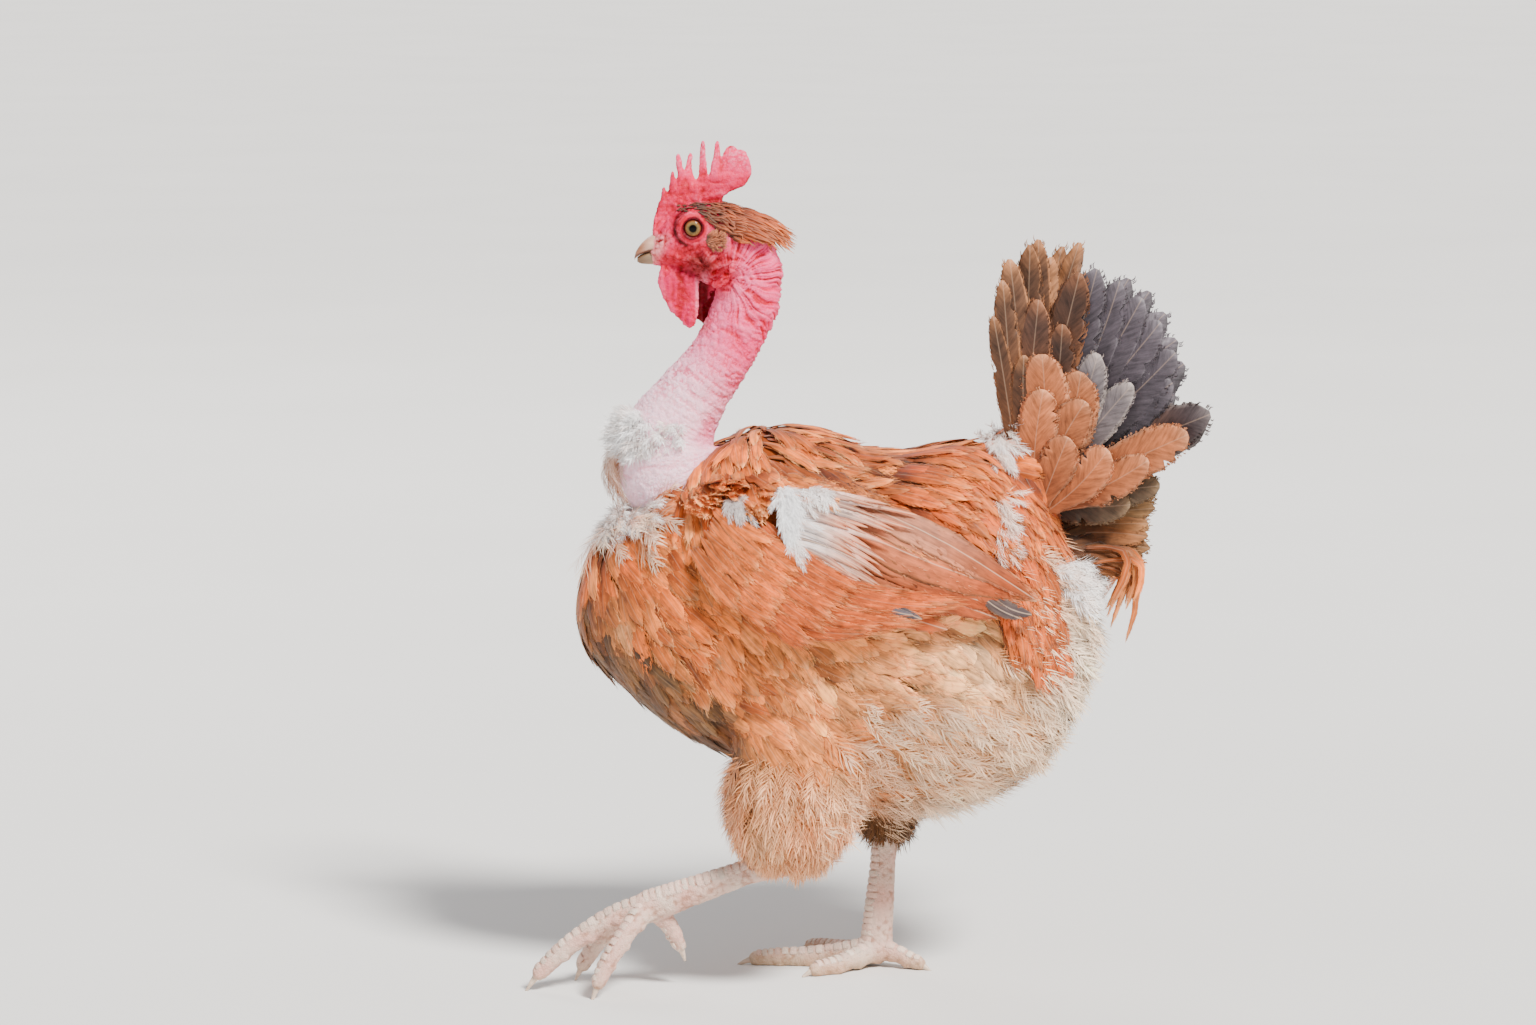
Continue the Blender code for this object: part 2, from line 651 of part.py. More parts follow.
def make_bill(head):
    pits = []
    for sign in SIDES.values():
        for (x, y, z), radii in ((NOSTRIL, (1.8, 1.6, 0.8)), (GAPE, (4.0, 3.0, 0.5))):
            pit = ball_form((x, sign * y, z), radii, 8, 6)
            pits.append(mesh_object("pit", pit, "horn", helpers))
    apply_boolean(head, "DIFFERENCE", pits)
    for name, rows in (("bill_upper", BILL_UPPER_ROWS), ("bill_lower", BILL_LOWER_ROWS)):
        bill = mesh_object(name, body_form(rows, 8, 10, power=2.0), "horn", parts)
        cut_clear(bill, head)


def make_comb(head):
    """A blade with points, thick at its foot and thin at its tips."""
    outline = bpy.data.curves.new("comb_outline", "CURVE")
    outline.dimensions = "2D"
    outline.fill_mode = "BOTH"
    outline.extrude = 0.45
    outline.bevel_depth = COMB_ROUND
    outline.bevel_resolution = 0
    outline.offset = -COMB_ROUND
    line = outline.splines.new("POLY")
    line.points.add(len(COMB_OUTLINE) - 1)
    for point, (x, z) in zip(line.points, COMB_OUTLINE):
        point.co = (x, z, 0, 1)
    line.use_cyclic_u = True
    guide = bpy.data.objects.new("comb_outline", outline)
    helpers.objects.link(guide)
    bpy.context.view_layer.update()
    flat = bpy.data.meshes.new_from_object(guide.evaluated_get(bpy.context.evaluated_depsgraph_get()))
    bm = bmesh.new()
    bm.from_mesh(flat)
    bmesh.ops.remove_doubles(bm, verts=bm.verts, dist=0.001)
    bmesh.ops.triangulate(bm, faces=bm.faces)
    for v in bm.verts:
        x, z, side = v.co
        side /= 0.45 + COMB_ROUND
        share = min(1.0, max(0.0, (z - COMB_Z[0]) / (COMB_Z[1] - COMB_Z[0])))
        half = COMB_HALF[0] + (COMB_HALF[1] - COMB_HALF[0]) * share
        lean = 1.3 * share * math.sin(x * 0.35)
        v.co = Vector((x, side * half + lean, z)) * MM
    bpy.data.meshes.remove(flat)
    bpy.data.objects.remove(guide, do_unlink=True)
    comb = mesh_object("comb", bm, "face_skin", parts)
    cut_clear(comb, head, node("bill_upper"))
    return comb


def make_wattles(head, neck):
    for side, sign in SIDES.items():
        top, bottom, front, back = WATTLE[side]
        bm = ball_form((0, 0, 0), (1, 1, 1), 14, 8)
        for v in bm.verts:
            x, y, z = v.co / MM
            drop = (1 - z) / 2
            narrow = 0.62 + 0.38 * math.sin(math.pi * min(1.0, drop * 1.15))
            v.co = Vector((
                (front + back) / 2 + (back - front) / 2 * x * narrow + 3.0 * (drop - 0.5),
                sign * (WATTLE_OUT[0] + (WATTLE_OUT[1] - WATTLE_OUT[0]) * drop + y * WATTLE_HALF),
                top + (bottom - top) * drop,
            )) * MM
        wattle = mesh_object("wattle_" + side, bm, "face_skin", parts)
        cut_clear(wattle, head, neck, node("bill_lower"))


def make_ears(head):
    for side, sign in SIDES.items():
        x, y, z = EAR_CENTRE
        patch = ball_form((x, sign * y, z), (5.2, 2.6, 4.8), 12, 6)
        hollow = ball_form((x - 0.5, sign * (y + 3.6), z - 0.5), (2.6, 2.4, 2.6), 8, 6)
        ear = mesh_object("ear_" + side, patch, "plumage", parts)
        cup = mesh_object("cup", hollow, "plumage", helpers)
        apply_boolean(ear, "DIFFERENCE", [cup])
        cut_clear(ear, head)


def make_crown(head, neck, comb):
    """A low cap with three tiers of narrow feathers that trail off behind the head."""
    cap = ball_form((-66, 0, 378.4), (25, 16.6, 13.6), 14, 10, Matrix.Rotation(math.radians(28), 4, "Y"))
    crown = mesh_object("crown", cap, "plumage", parts)
    tree = surface_of(crown)
    cut_by_plane(crown, (-86.5, 0, 388.8), (0.58, 0, 1.0), keep_above=True, gap=GAP)
    chance = random.Random(11)
    vanes = []
    for (x, z), count, length, half in CROWN_TIERS:
        for i in range(count):
            lean = (i + 0.5) / count * 2 - 1
            start = (x + 3 * abs(lean), 15 * lean, z - 5 * abs(lean))
            way = (1.0, 0.28 * lean + chance.uniform(-0.08, 0.08), -0.25)
            vanes.append(surface_vane(tree, start, way, length * chance.uniform(0.9, 1.1), half, 2.2))
    for lean in (-1, 0, 1):
        tip = (-37 + chance.uniform(-2, 2), 9 * lean, 368 - 4 * abs(lean))
        vanes.append(free_vane((-58, 8 * lean, 378), tip, 3.2, (0.4, 0, 1), sag=1.0))
    apply_boolean(crown, "UNION", vanes)
    cut_clear(crown, head, neck, comb, *(node(n + s) for n in ("ear_", "eye_") for s in SIDES))


def make_neck_tuft(neck, torso):
    """A tuft of down on the front of the bare neck, with a few wisps hanging from it."""
    tuft = mesh_object("neck_tuft", ball_form((-109, 0, 277), (14, 16, 13), 12, 8), "down", parts)
    chance = random.Random(17)
    locks = []
    for i in range(10):
        turn, rise = chance.uniform(-1.2, 1.2), chance.uniform(-0.5, 0.9)
        way = Vector((-math.cos(turn) * math.cos(rise), math.sin(turn), math.sin(rise)))
        root = Vector((-110, 0, 277)) + way * 8
        side_up = (0, -1 if way.y < 0 else 1, 0.4)
        locks.append(free_vane(root, root + way * chance.uniform(12, 15), 7.0, side_up, thick=4.0))
    for y in (-9, 4):
        locks.append(free_vane((-114, y, 272), (-124 + chance.uniform(-3, 3), y, 250), 3.6, (0, y, 0),
                               sag=1.0, thick=2.4))
    apply_boolean(tuft, "UNION", locks)
    cut_clear(tuft, neck, torso)


def wing_surface(x, z):
    """How far out the folded wing's outer face lies at one place, in mm."""
    ahead, behind = min(0.0, x + 15), max(0.0, x + 15)
    over, under = max(0.0, z - 195), min(0.0, z - 195)
    return (80 - 12 * (ahead / 60) ** 2 - 20 * (behind / 99) ** 2 - 17 * (over / 60) ** 2
            - 4 * (under / 20) ** 2)


def wing_bed(x, z):
    """How far under that face the wing's core lies: deeper away from the top edge and the shoulder."""
    (ax, az), (bx, bz) = WING_TOP
    below = ((bx - ax) * (az - z) - (x - ax) * (az - bz)) / math.hypot(bx - ax, bz - az)
    return -3.4 - 0.17 * max(0.0, below) + 3.6 * ease((-28 - x) / 26)


def make_wing(side, torso):
    """A folded wing: a core along the body and four rows of overlapping feathers, rooted in it."""
    sign = SIDES[side]
    centre = np.mean(WING_CORE, axis=0)
    rings = []
    for share, out in ((1.0, -6.0), (1.0, -3.0), (0.95, -0.8), (0.8, 0.0), (0.4, 0.0)):
        ring = []
        for x, z in WING_CORE:
            px, pz = centre + (np.array((x, z)) - centre) * share
            ring.append((px, sign * (wing_surface(px, pz) + wing_bed(px, pz) + out), pz))
        rings.append(ring)
    deep = [(x, sign * (abs(y) - 22), z) for x, y, z in rings[0]]
    wing = mesh_object("wing_" + side, loft([deep, *rings]), "plumage", parts)
    chance = random.Random(23)
    vanes = []
    for name, (root_a, tip_a, root_b, tip_b, count, half, layer, step) in WING_ROWS.items():
        outline = LONG_VANE if name in ("secondaries", "primaries") else SHORT_VANE
        for i, (root, tip) in enumerate(zip(spread(root_a, root_b, count), spread(tip_a, tip_b, count))):
            root += Vector((chance.uniform(-1, 1), 0))
            tip += Vector((chance.uniform(-1.5, 1.5), chance.uniform(-0.5, 0.5)))
            vanes.append(sheet_vane(wing_surface, side, root, tip, half, layer + step * i,
                                    wing_bed(*root) - 1.6, outline, bend=-1.5))
    apply_boolean(wing, "UNION", vanes)
    cut_clear(wing, torso)


def tail_sheet(x, z):
    """How far out each half of the tented tail lies at one place, in mm."""
    beyond = (x - TAIL_ROOT[0]) * TAIL_RIDGE[1] - (z - TAIL_ROOT[1]) * TAIL_RIDGE[0]
    return 10.5 + TAIL_SLOPE * max(0.0, beyond)


def make_tail(torso):
    """A raised, tented tail: two fans of broad feathers, coverts over their bases, and the rump."""
    rows = np.array(RUMP_ROWS)
    rump = limb_form([(x, 0, z) for x, z in rows[:, :2]], rows[:, 2], rows[:, 3], 8, 16)
    tail = mesh_object("tail", rump, "tail_feathers", parts)
    chance = random.Random(29)
    vanes = []
    for side in SIDES:
        for i, tip in enumerate(TAIL_TIPS):
            root = (TAIL_ROOT[0] + 1.2 * i, TAIL_ROOT[1] - 1.2 * i)
            half = TAIL_HALF[i] * chance.uniform(0.94, 1.04)
            layer = -LAYER * i - 2.5
            vanes.append(sheet_vane(tail_sheet, side, root, tip, half, layer, layer))
        for tiers, tips in TAIL_COVERTS.items():
            for i, tip in enumerate(tips):
                root = (TAIL_ROOT[0] + 3 + 1.5 * i, TAIL_ROOT[1] - 1.5 * i)
                layer = LAYER * (tiers - 2 - 1.35 * i)
                vanes.append(sheet_vane(tail_sheet, side, root, tip, COVERT_HALF * chance.uniform(0.9, 1.05),
                                        layer, layer, SHORT_VANE))
    apply_boolean(tail, "UNION", vanes)
    cut_clear(tail, torso, *(node("wing_" + side) for side in SIDES))
    return tail


def make_leg(side, torso):
    sign = SIDES[side]
    hx, hy, hz = HOCK[side]
    bx, by, bz = BALL[side]
    hock, ball = (hx, sign * hy, hz), (bx, sign * by, bz)
    foot = mesh_object("foot_" + side, ball_form(ball, (8.0, 7.6, 8.0), 12, 8), "leg_scales", parts)
    toes = []
    for toe, points in TOES[side].items():
        radii = TOE_RADII[toe]
        places = [(bx + x, sign * (by + y), z) for x, y, z in points]
        form = scaled_limb(places, radii, [r * 0.92 for r in radii], SCUTES[toe], 8)
        toes.append(mesh_object("toe", form, "leg_scales", helpers))
        end, before = Vector(places[-1]), Vector(places[-2])
        make_claw(side, toe, end, (end - before).normalized())
    apply_boolean(foot, "UNION", toes)
    stand_on_floor(foot)
    for toe in TOES[side]:
        claw = node(f"claw_{side}_{toe}")
        cut_clear(claw, foot)
        stand_on_floor(claw)
    thigh = make_thigh(side, torso)
    middle = [Vector(hock).lerp(Vector(ball), t) for t in (0, 0.35, 0.7, 1.0)]
    shank = mesh_object("shank_" + side, scaled_limb(middle, SHANK_DEPTH, SHANK_WIDTH, SCUTES["shank"], 12),
                        "leg_scales", parts)
    cut_clear(shank, thigh, foot, torso)


def make_claw(side, toe, end, heading):
    """A claw: a tapering hook that dips towards the floor."""
    length = CLAW_LENGTH[toe]
    points, radii = [], []
    for t in (0.0, 0.4, 0.75, 1.0):
        dip = Vector((0, 0, -0.25 * length * t * t))
        points.append(end - heading * 2.5 + heading * length * t + dip)
        radii.append(CLAW_RADIUS * (1 - 0.78 * t))
    claw = limb_form(points, radii, [r * 0.8 for r in radii], 4, 8)
    mesh_object(f"claw_{side}_{toe}", claw, "horn", parts)


def make_thigh(side, torso):
    sign = SIDES[side]
    rows = THIGH_ROWS[side]
    points = [(x, sign * y, z) for x, y, z, _, _ in rows]
    bm = limb_form(points, [r[3] for r in rows], [r[4] for r in rows], 12, 18)
    thigh = mesh_object("thigh_" + side, bm, "plumage", parts)
    cut_clear(thigh, torso, node("wing_" + side))
    return thigh


clear_scene()
parts = new_collection("naked_neck_hen")
helpers = new_collection("helpers")
torso = make_torso()
head, neck = make_head_and_neck(torso)
make_eyes(head)
make_bill(head)
comb = make_comb(head)
make_wattles(head, neck)
make_ears(head)
make_crown(head, neck, comb)
make_neck_tuft(neck, torso)
for side in SIDES:
    make_wing(side, torso)
    make_leg(side, torso)
make_tail(torso)
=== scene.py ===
"""A walking naked neck hen: skin, eyes, bill, scutes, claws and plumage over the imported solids.

The tables are in millimetres, and MM turns them into metres. The bill points along -X, and the hen's
left side, the near one, is -Y. A feather is laid out in shares of its length and half width, then bent
along the surface that carries it.
"""

import math

import bmesh
import bpy
import numpy as np
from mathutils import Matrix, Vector
from mathutils.bvhtree import BVHTree


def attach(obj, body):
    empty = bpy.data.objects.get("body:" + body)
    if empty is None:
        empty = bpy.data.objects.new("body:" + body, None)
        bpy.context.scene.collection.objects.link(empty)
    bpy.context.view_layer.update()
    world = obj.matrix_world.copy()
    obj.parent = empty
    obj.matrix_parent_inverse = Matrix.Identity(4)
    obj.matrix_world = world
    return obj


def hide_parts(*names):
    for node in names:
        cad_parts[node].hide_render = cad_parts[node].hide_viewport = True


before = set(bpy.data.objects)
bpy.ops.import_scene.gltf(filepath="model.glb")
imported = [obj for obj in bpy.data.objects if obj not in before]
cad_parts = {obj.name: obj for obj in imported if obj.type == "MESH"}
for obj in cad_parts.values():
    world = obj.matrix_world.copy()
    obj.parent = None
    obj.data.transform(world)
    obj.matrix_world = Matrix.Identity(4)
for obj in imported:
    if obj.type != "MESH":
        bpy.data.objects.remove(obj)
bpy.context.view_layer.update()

MM = 0.001
SIDES = {"left": -1.0, "right": 1.0}

# The camera stands beside the hen and a little above it. KEY_POWER is the sun's strength.
ELEVATION = math.radians(8)
DISTANCE = 2.5
AIM = Vector((-0.049, 0.0, 0.2353))
LENS = 117.2
KEY_POWER = 7.9

# Linear colours, and the power that deepens them against the studio's bright soft light.
VIVID = 1.62
ORANGE = (0.76, 0.275, 0.065)
DEEP_ORANGE = (0.60, 0.165, 0.035)
APRICOT = (0.90, 0.45, 0.19)
CREAM = (0.92, 0.62, 0.38)
PALE = (0.95, 0.84, 0.71)
WHITE = (0.99, 0.975, 0.97)
OLIVE_BROWN = (0.38, 0.27, 0.16)
CROWN_DARK = (0.12, 0.04, 0.022)
PALE_RIM = (0.98, 0.68, 0.42)
# Feathers of wing and tail: colour at the root and at the tip, and for the tail that of the rim.
WING_TINTS = {
    "upper quills": ((0.84, 0.48, 0.34), (0.50, 0.15, 0.045)),
    "quills": ((0.78, 0.34, 0.19), (0.50, 0.15, 0.045)),
    "dark quill": ((0.22, 0.17, 0.16), (0.12, 0.10, 0.11)),
    "grey bit": ((0.22, 0.19, 0.20), (0.20, 0.18, 0.20)),
    "bases": ((0.97, 0.90, 0.88), (0.66, 0.27, 0.14)),
    "lower": ((0.62, 0.20, 0.07), (0.70, 0.23, 0.07)),
    "covert_rear": ((0.66, 0.22, 0.075), (0.70, 0.24, 0.075)),
    "covert_middle": ((0.70, 0.25, 0.08), (0.76, 0.28, 0.085)),
    "covert_front": ((0.70, 0.26, 0.08), (0.76, 0.29, 0.09)),
}
TAIL_TINTS = {
    "mottled": ((0.28, 0.15, 0.085), (0.17, 0.11, 0.08), (0.66, 0.38, 0.22), 0.95),
    "mixed": ((0.38, 0.19, 0.10), (0.12, 0.085, 0.075), (0.54, 0.30, 0.18), 0.9),
    "slate": ((0.11, 0.09, 0.10), (0.17, 0.15, 0.17), (0.42, 0.39, 0.41), 0.5),
    "tipped": ((0.34, 0.18, 0.10), (0.11, 0.09, 0.10), (0.44, 0.40, 0.38), 0.5),
    "streaked": ((0.13, 0.10, 0.085), (0.24, 0.18, 0.13), (0.44, 0.33, 0.22), 0.6),
    "orange": ((0.50, 0.22, 0.11), (0.58, 0.28, 0.15), (0.82, 0.54, 0.38), 0.5),
    "edged": ((0.26, 0.21, 0.21), (0.32, 0.29, 0.30), (0.72, 0.64, 0.60), 0.9),
}
# Each thigh's colour, how far it mottles to cream, and how far its tips turn pale; the far (right) thigh's
# dull brown is painted shade.
THIGH_TINTS = {"left": ((0.84, 0.42, 0.20), 1.0), "right": ((0.26, 0.148, 0.072), 0.1)}
THIGH_PALE = {"left": 0.3, "right": 0.0}
COMB_PINK = (0.93, 0.09, 0.27)
FACE_RED = (0.74, 0.012, 0.115)
DARK_RED = (0.26, 0.01, 0.04)
NECK_PINK = (0.98, 0.13, 0.34)
PALE_PINK = (0.97, 0.40, 0.56)
SHELL_PINK = (0.99, 0.78, 0.84)
LEG_IVORY = (0.80, 0.69, 0.61)
LEG_PINK = (0.78, 0.54, 0.47)

# Rows of a body form: x, top, bottom, half width, height of the widest point.
TORSO_ROWS = [
    (-146.5, 190, 178, 4, 184), (-144.0, 206, 168, 19, 186), (-137.0, 226, 158, 32, 188),
    (-125.0, 241, 147.5, 43, 189), (-107.5, 254, 132.5, 53, 190), (-87.0, 267, 119.5, 60, 188),
    (-66.0, 278, 111, 65, 186), (-43.0, 282, 101, 68, 184), (-22.0, 278, 94, 69, 182),
    (-2.0, 269.5, 88, 68, 180), (20.0, 267.5, 83.5, 66, 178), (41.0, 270, 85, 63, 176),
    (61.0, 270, 91, 58, 175), (80.0, 254, 103, 51, 173), (95.5, 229.5, 121, 42.5, 171),
    (107.0, 207, 142, 31, 170), (113.5, 188, 158, 17, 170), (115.5, 175, 168, 4, 170),
]
HEAD_ROWS = [
    (-107.0, 370, 361.1, 3.5, 365.1), (-105.5, 373.9, 359.6, 6.0, 366), (-102.0, 378.8, 358.7, 8.6, 368),
    (-97.0, 384.8, 357.2, 11.2, 371), (-90.0, 389.2, 354.7, 13.4, 374.9), (-82.0, 390.6, 351.3, 14.6, 375.9),
    (-74.0, 390.6, 347.8, 15.2, 372.9), (-66.0, 388.2, 344.3, 15.4, 370), (-58.0, 383.3, 342.4, 15.0, 366),
    (-51.0, 375.9, 343.4, 13.6, 363.1), (-45.5, 367, 346.3, 10.5, 358.2), (-42.0, 359.1, 351.3, 5.0, 355.2),
]
BILL_UPPER_ROWS = [
    (-115.3, 363.5, 361.7, 0.7, 362.5), (-114.4, 366.4, 363.1, 1.9, 364.3),
    (-112.0, 369.9, 364.7, 3.2, 366), (-108.5, 373.1, 365.8, 4.5, 367.8),
    (-104.0, 375.5, 366.4, 5.6, 369), (-99.0, 376.4, 366.4, 6.0, 369.5),
]
BILL_LOWER_ROWS = [
    (-113.9, 363.3, 361, 0.8, 361.9), (-112.0, 364.6, 360.1, 2.2, 362.9),
    (-108.5, 365.9, 359.8, 3.7, 363.9), (-104.0, 366.5, 359.7, 4.9, 364.1),
    (-99.0, 366.5, 360.1, 5.4, 364.1),
]
# Rows of the neck and the rump: x, z, half depth and half width.
NECK_ROWS = [
    (-74.0, 226, 30, 30), (-87.0, 243, 29, 28), (-96.5, 259, 27, 24.5), (-97.5, 275, 23, 19.5),
    (-87.5, 293, 18.2, 16), (-74.5, 310.7, 15.8, 14.2), (-64.5, 328.5, 15.8, 13.8),
    (-59.0, 344.3, 16.2, 14.0), (-60.0, 357.2, 15.5, 13.5), (-64.0, 366, 13.0, 12.0),
]
RUMP_ROWS = [(62, 232, 25, 24), (80, 252, 27, 20), (94, 268, 21, 14), (104, 280, 10, 7)]
EYE_CENTRE = (-86.0, 8.3, 378.8)
EYE_RADIUS = 7.3
NOSTRIL = (-103.0, 5.6, 372)
# Folds of the face: middle line on the left, radii, and the mesh's rows and steps round.
FACE_FOLDS = [
    ([(-81.4, 14.2, 379.4), (-79.4, 13.6, 380.4), (-77.4, 12.9, 380.6)], (0.9, 1.2, 0.6), 12, 12),
    ([(-77, 10.5, 351), (-74, 12.3, 351), (-70, 13.4, 353.8), (-66.5, 14.0, 358.8), (-61, 13.8, 362)],
     (0.8, 1.7, 2.1, 1.9, 1.0), 24, 16),
    ([(-98, 10.0, 365.5), (-92, 11.6, 363.5), (-86, 12.6, 363.0), (-80, 13.0, 359.5)],
     (0.8, 1.3, 1.4, 0.8), 24, 16),
    ([(-80, 13.0, 368), (-78.5, 13.8, 364), (-76.5, 13.8, 359.5), (-76, 13.0, 355.5)],
     (1.6, 2.7, 2.8, 1.4), 24, 16),
]
NAPE_FOCUS = (-68.0, 354.0)  # where the wrinkles of the nape meet, x and z
# The comb's outline, x and z.
COMB_OUTLINE = [
    (-106, 372), (-105.5, 379.8), (-103.5, 387.7), (-101.5, 393.6), (-100.6, 397.5), (-99.4, 395.1),
    (-98, 395.6), (-96.6, 404.8), (-95.8, 404.8), (-94.4, 397.9), (-93.3, 399), (-93.9, 412.6),
    (-92.7, 413.2), (-91.0, 404.9), (-90.0, 404.9), (-88.1, 413.6), (-86.9, 413.6), (-86.7, 405.4),
    (-84.2, 400.5), (-82.6, 409.3), (-82, 419.5), (-80.6, 419.7), (-79.9, 409.3), (-78.3, 401.9),
    (-76.6, 408.3), (-75, 419.1), (-73.4, 420.1), (-72.9, 415.2), (-72.3, 407.3), (-71, 414.2),
    (-68.4, 418.3), (-65.6, 418.1), (-64.6, 416.2), (-60.6, 415.6), (-58.4, 410.3), (-57.8, 404.4),
    (-60.6, 399.5), (-65.6, 397.1), (-71, 394.2), (-73.5, 388.7), (-88, 385.7), (-97, 380.8), (-101, 372.9),
]
# Top, foot, front and rear of each wattle.
WATTLE = {"left": (362.1, 329, -104.5, -83.0), "right": (360.1, 328, -97.5, -74.0)}

# The joints of each leg: x, how far out from the middle, and z.
HOCK = {"left": (-31.0, 42.0, 71.0), "right": (12.5, 27.0, 85.0)}
BALL = {"left": (-109.0, 37.0, 42.0), "right": (6.0, 15.0, 9.0)}
SHANK_DEPTH = (9.4, 6.4, 7.2, 8.2)
SHANK_WIDTH = (6.6, 5.2, 5.6, 7.0)
# Middle lines of the toes: x and how far out from the ball of the foot, and the height itself.
TOES = {
    "right": {
        "middle": [(0, 0, 9), (-16, 0.5, 6.5), (-33, 1.5, 4.6), (-49, 2.5, 4.0), (-61, 3.0, 3.3)],
        "outer": [(0, 0, 9), (-9, 9, 6.4), (-18, 18.5, 4.6), (-26.5, 26, 3.9), (-33, 31, 3.2)],
        "inner": [(0, 0, 9), (-10, -8.5, 6.4), (-20.5, -16.5, 4.3), (-31, -22, 3.3)],
        "hind": [(0, 0, 9), (8, -3, 8), (16, -6, 5), (22, -8.5, 3.2)],
    },
    "left": {
        "middle": [(0, 0, 42), (-15, 0.5, 38), (-30, 1, 29.5), (-43, 1.5, 19.5), (-54, 2, 9)],
        "outer": [(0, 0, 42), (-6, 9, 36.5), (-13, 14.5, 27.5), (-19.5, 18, 17.5), (-24, 20, 8)],
        "inner": [(0, 0, 42), (-11, -8, 35.5), (-23, -14.5, 24), (-33, -18.5, 8.5)],
        "hind": [(0, 0, 42), (8, -3, 36), (13, -5, 28), (16, -6.5, 21)],
    },
}
TOE_RADII = {"middle": (7.2, 5.6, 5.0, 4.6, 3.9), "outer": (6.6, 5.0, 4.5, 4.2, 3.6),
             "inner": (6.6, 5.0, 4.5, 3.8), "hind": (6.4, 4.6, 4.0, 3.4)}
SHANK_SCUTES = 22
TOE_SCUTES = {"middle": 15, "outer": 12, "inner": 10, "hind": 5}
CLAW_LENGTH = {"middle": 12.0, "outer": 10.0, "inner": 10.0, "hind": 9.0}
# Rows of each thigh: x, how far out, z, half depth and half width.
THIGH_ROWS = {
    "left": [(-20, 34, 150, 34, 22), (-30, 40, 124, 36, 26), (-37, 43, 101, 34, 26),
             (-38, 44, 82, 30, 23), (-37, 44, 70, 20, 15), (-37, 44, 63.5, 8, 6)],
    "right": [(6, 30, 150, 32, 22), (6, 32, 124, 32, 24), (8, 32, 103, 26, 22),
              (10, 31, 86, 20, 18), (12, 29, 72, 14, 13), (12, 28, 64, 10, 9)],
}
# The outline of the wing's bones under the feathers, x and z.
WING_CORE = [(-75, 213), (-71, 233), (-57, 247), (-34, 254), (0, 247), (34, 227), (52, 212),
             (50, 196), (28, 189), (-6, 187), (-40, 190), (-64, 199)]
TAIL_ROOT = (70.0, 246.0)
COAT_DEPTH = 5.0  # how far the skin lies inside the solids' core, under the feathers

# The folded wing's outline, clockwise from the shoulder, x and z.
WING_OUTLINE = [
    (-46, 257), (2, 251), (42, 233), (67, 215), (85, 197), (84, 188), (45, 184), (-10, 180), (-45, 187),
    (-66, 199), (-76, 214), (-72, 235), (-58, 249),
]
WING_TOP = ([-60, -46, 2, 42], [247, 257, 251, 233])  # x and height of its upper edge
# Rows of wing feathers: the first one's root and tip, the last one's, their number, half width,
# the first one's height, the step to the next and how far each bows.
WING_TIERS = {
    "upper quills": ((-20, 256), (74, 196), (-32, 244), (78, 193), 5, 7.0, 1.2, -0.3, 6.5),
    "quills": ((-28, 250), (78, 193), (-46, 214), (36, 190), 12, 8.0, 0.1, -0.36, -1.0),
    "dark quill": ((58, 206), (79, 192), (53, 206), (74, 193.5), 2, 3.0, 1.1, -0.4, -2.0),
    "grey bit": ((2, 205), (26, 196), (0, 203), (21, 195), 2, 2.6, 2.6, -0.2, -1.0),
    "bases": ((-44, 256), (12, 245), (-44, 224), (-10, 210), 30, 1.7, 1.9, -0.03, 2.0),
    "lower": ((-46, 226), (42, 196), (-62, 202), (-6, 182.5), 15, 5.0, 2.2, -0.06, -4.0),
    "covert_rear": ((-50, 244), (-8, 206), (-72, 210), (-30, 185), 16, 4.2, 2.6, -0.03, -2.5),
    "covert_middle": ((-64, 245), (-32, 222), (-80, 218), (-48, 191), 16, 4.0, 2.8, -0.03, -2.0),
    "covert_front": ((-74, 246), (-48, 229), (-86, 224), (-64, 199), 14, 3.8, 2.8, -0.03, -1.0),
}
# Places of pale down on the wing: middle, half reach, number and colour.
WING_DOWN = [
    ((-40.5, 248), (4, 9), 76, (1.0, 0.99, 0.99)), ((-27, 255), (9, 1.5), 14, (0.97, 0.92, 0.90)),
    ((-65, 250), (4.5, 2.5), 16, (0.70, 0.64, 0.62)), ((-38, 236), (3, 4), 14, (0.96, 0.90, 0.87)),
]
# Each half of the tail: tip x, tip z, half width, height of the layer, colour.
TAIL_FAN = [
    (169, 281, 12.5, -6.5, "tipped"), (152, 297, 12.0, -6.0, "slate"), (155, 312, 12.5, -5.5, "slate"),
    (149, 327, 12.0, -5.0, "slate"), (141, 339, 11.5, -4.5, "slate"), (133, 348, 10.5, -4.0, "slate"),
    (121, 355, 11.0, -3.0, "slate"), (145, 262, 10.0, -6.2, "streaked"), (143, 248, 9.5, -6.8, "streaked"),
    (128, 238, 9.0, -6.0, "streaked"), (96, 371, 7.5, -2.2, "mottled"), (88, 369, 8.0, -1.6, "mottled"),
    (109, 355, 10.5, -1.4, "mixed"), (82, 363, 8.0, -0.8, "mottled"), (92, 342, 9.5, 0.4, "mixed"),
    (76, 352, 6.5, 0.2, "mottled"), (71, 335, 5.0, 0.8, "mottled"), (104, 330, 9.5, 0.0, "mixed"),
    (134, 299, 9.0, -0.8, "edged"), (121, 315, 10.0, 0.2, "edged"), (158, 277, 11.5, 0.2, "orange"),
    (140, 262, 9.0, 0.6, "orange"), (111, 307, 12.5, 1.6, "orange"), (91, 317, 12.5, 2.6, "orange"),
    (78, 315, 7.0, 2.2, "mottled"), (109, 293, 11.0, 3.0, "orange"), (88, 300, 10.5, 3.8, "orange"),
    (122, 268, 10.0, 3.4, "orange"), (102, 276, 10.0, 4.4, "orange"),
]
# How many feathers each of these has on a side.
TAIL_MIDDLE, SCAPULARS = 7, 115
SADDLE_COUNT, FLANK_COUNT, RUMP_COUNT = 150, 130, 72
VENT_COVERTS, VENT_CURLS, VENT_FLUFF = 12, 9, 90
EAR_COUNT = 200
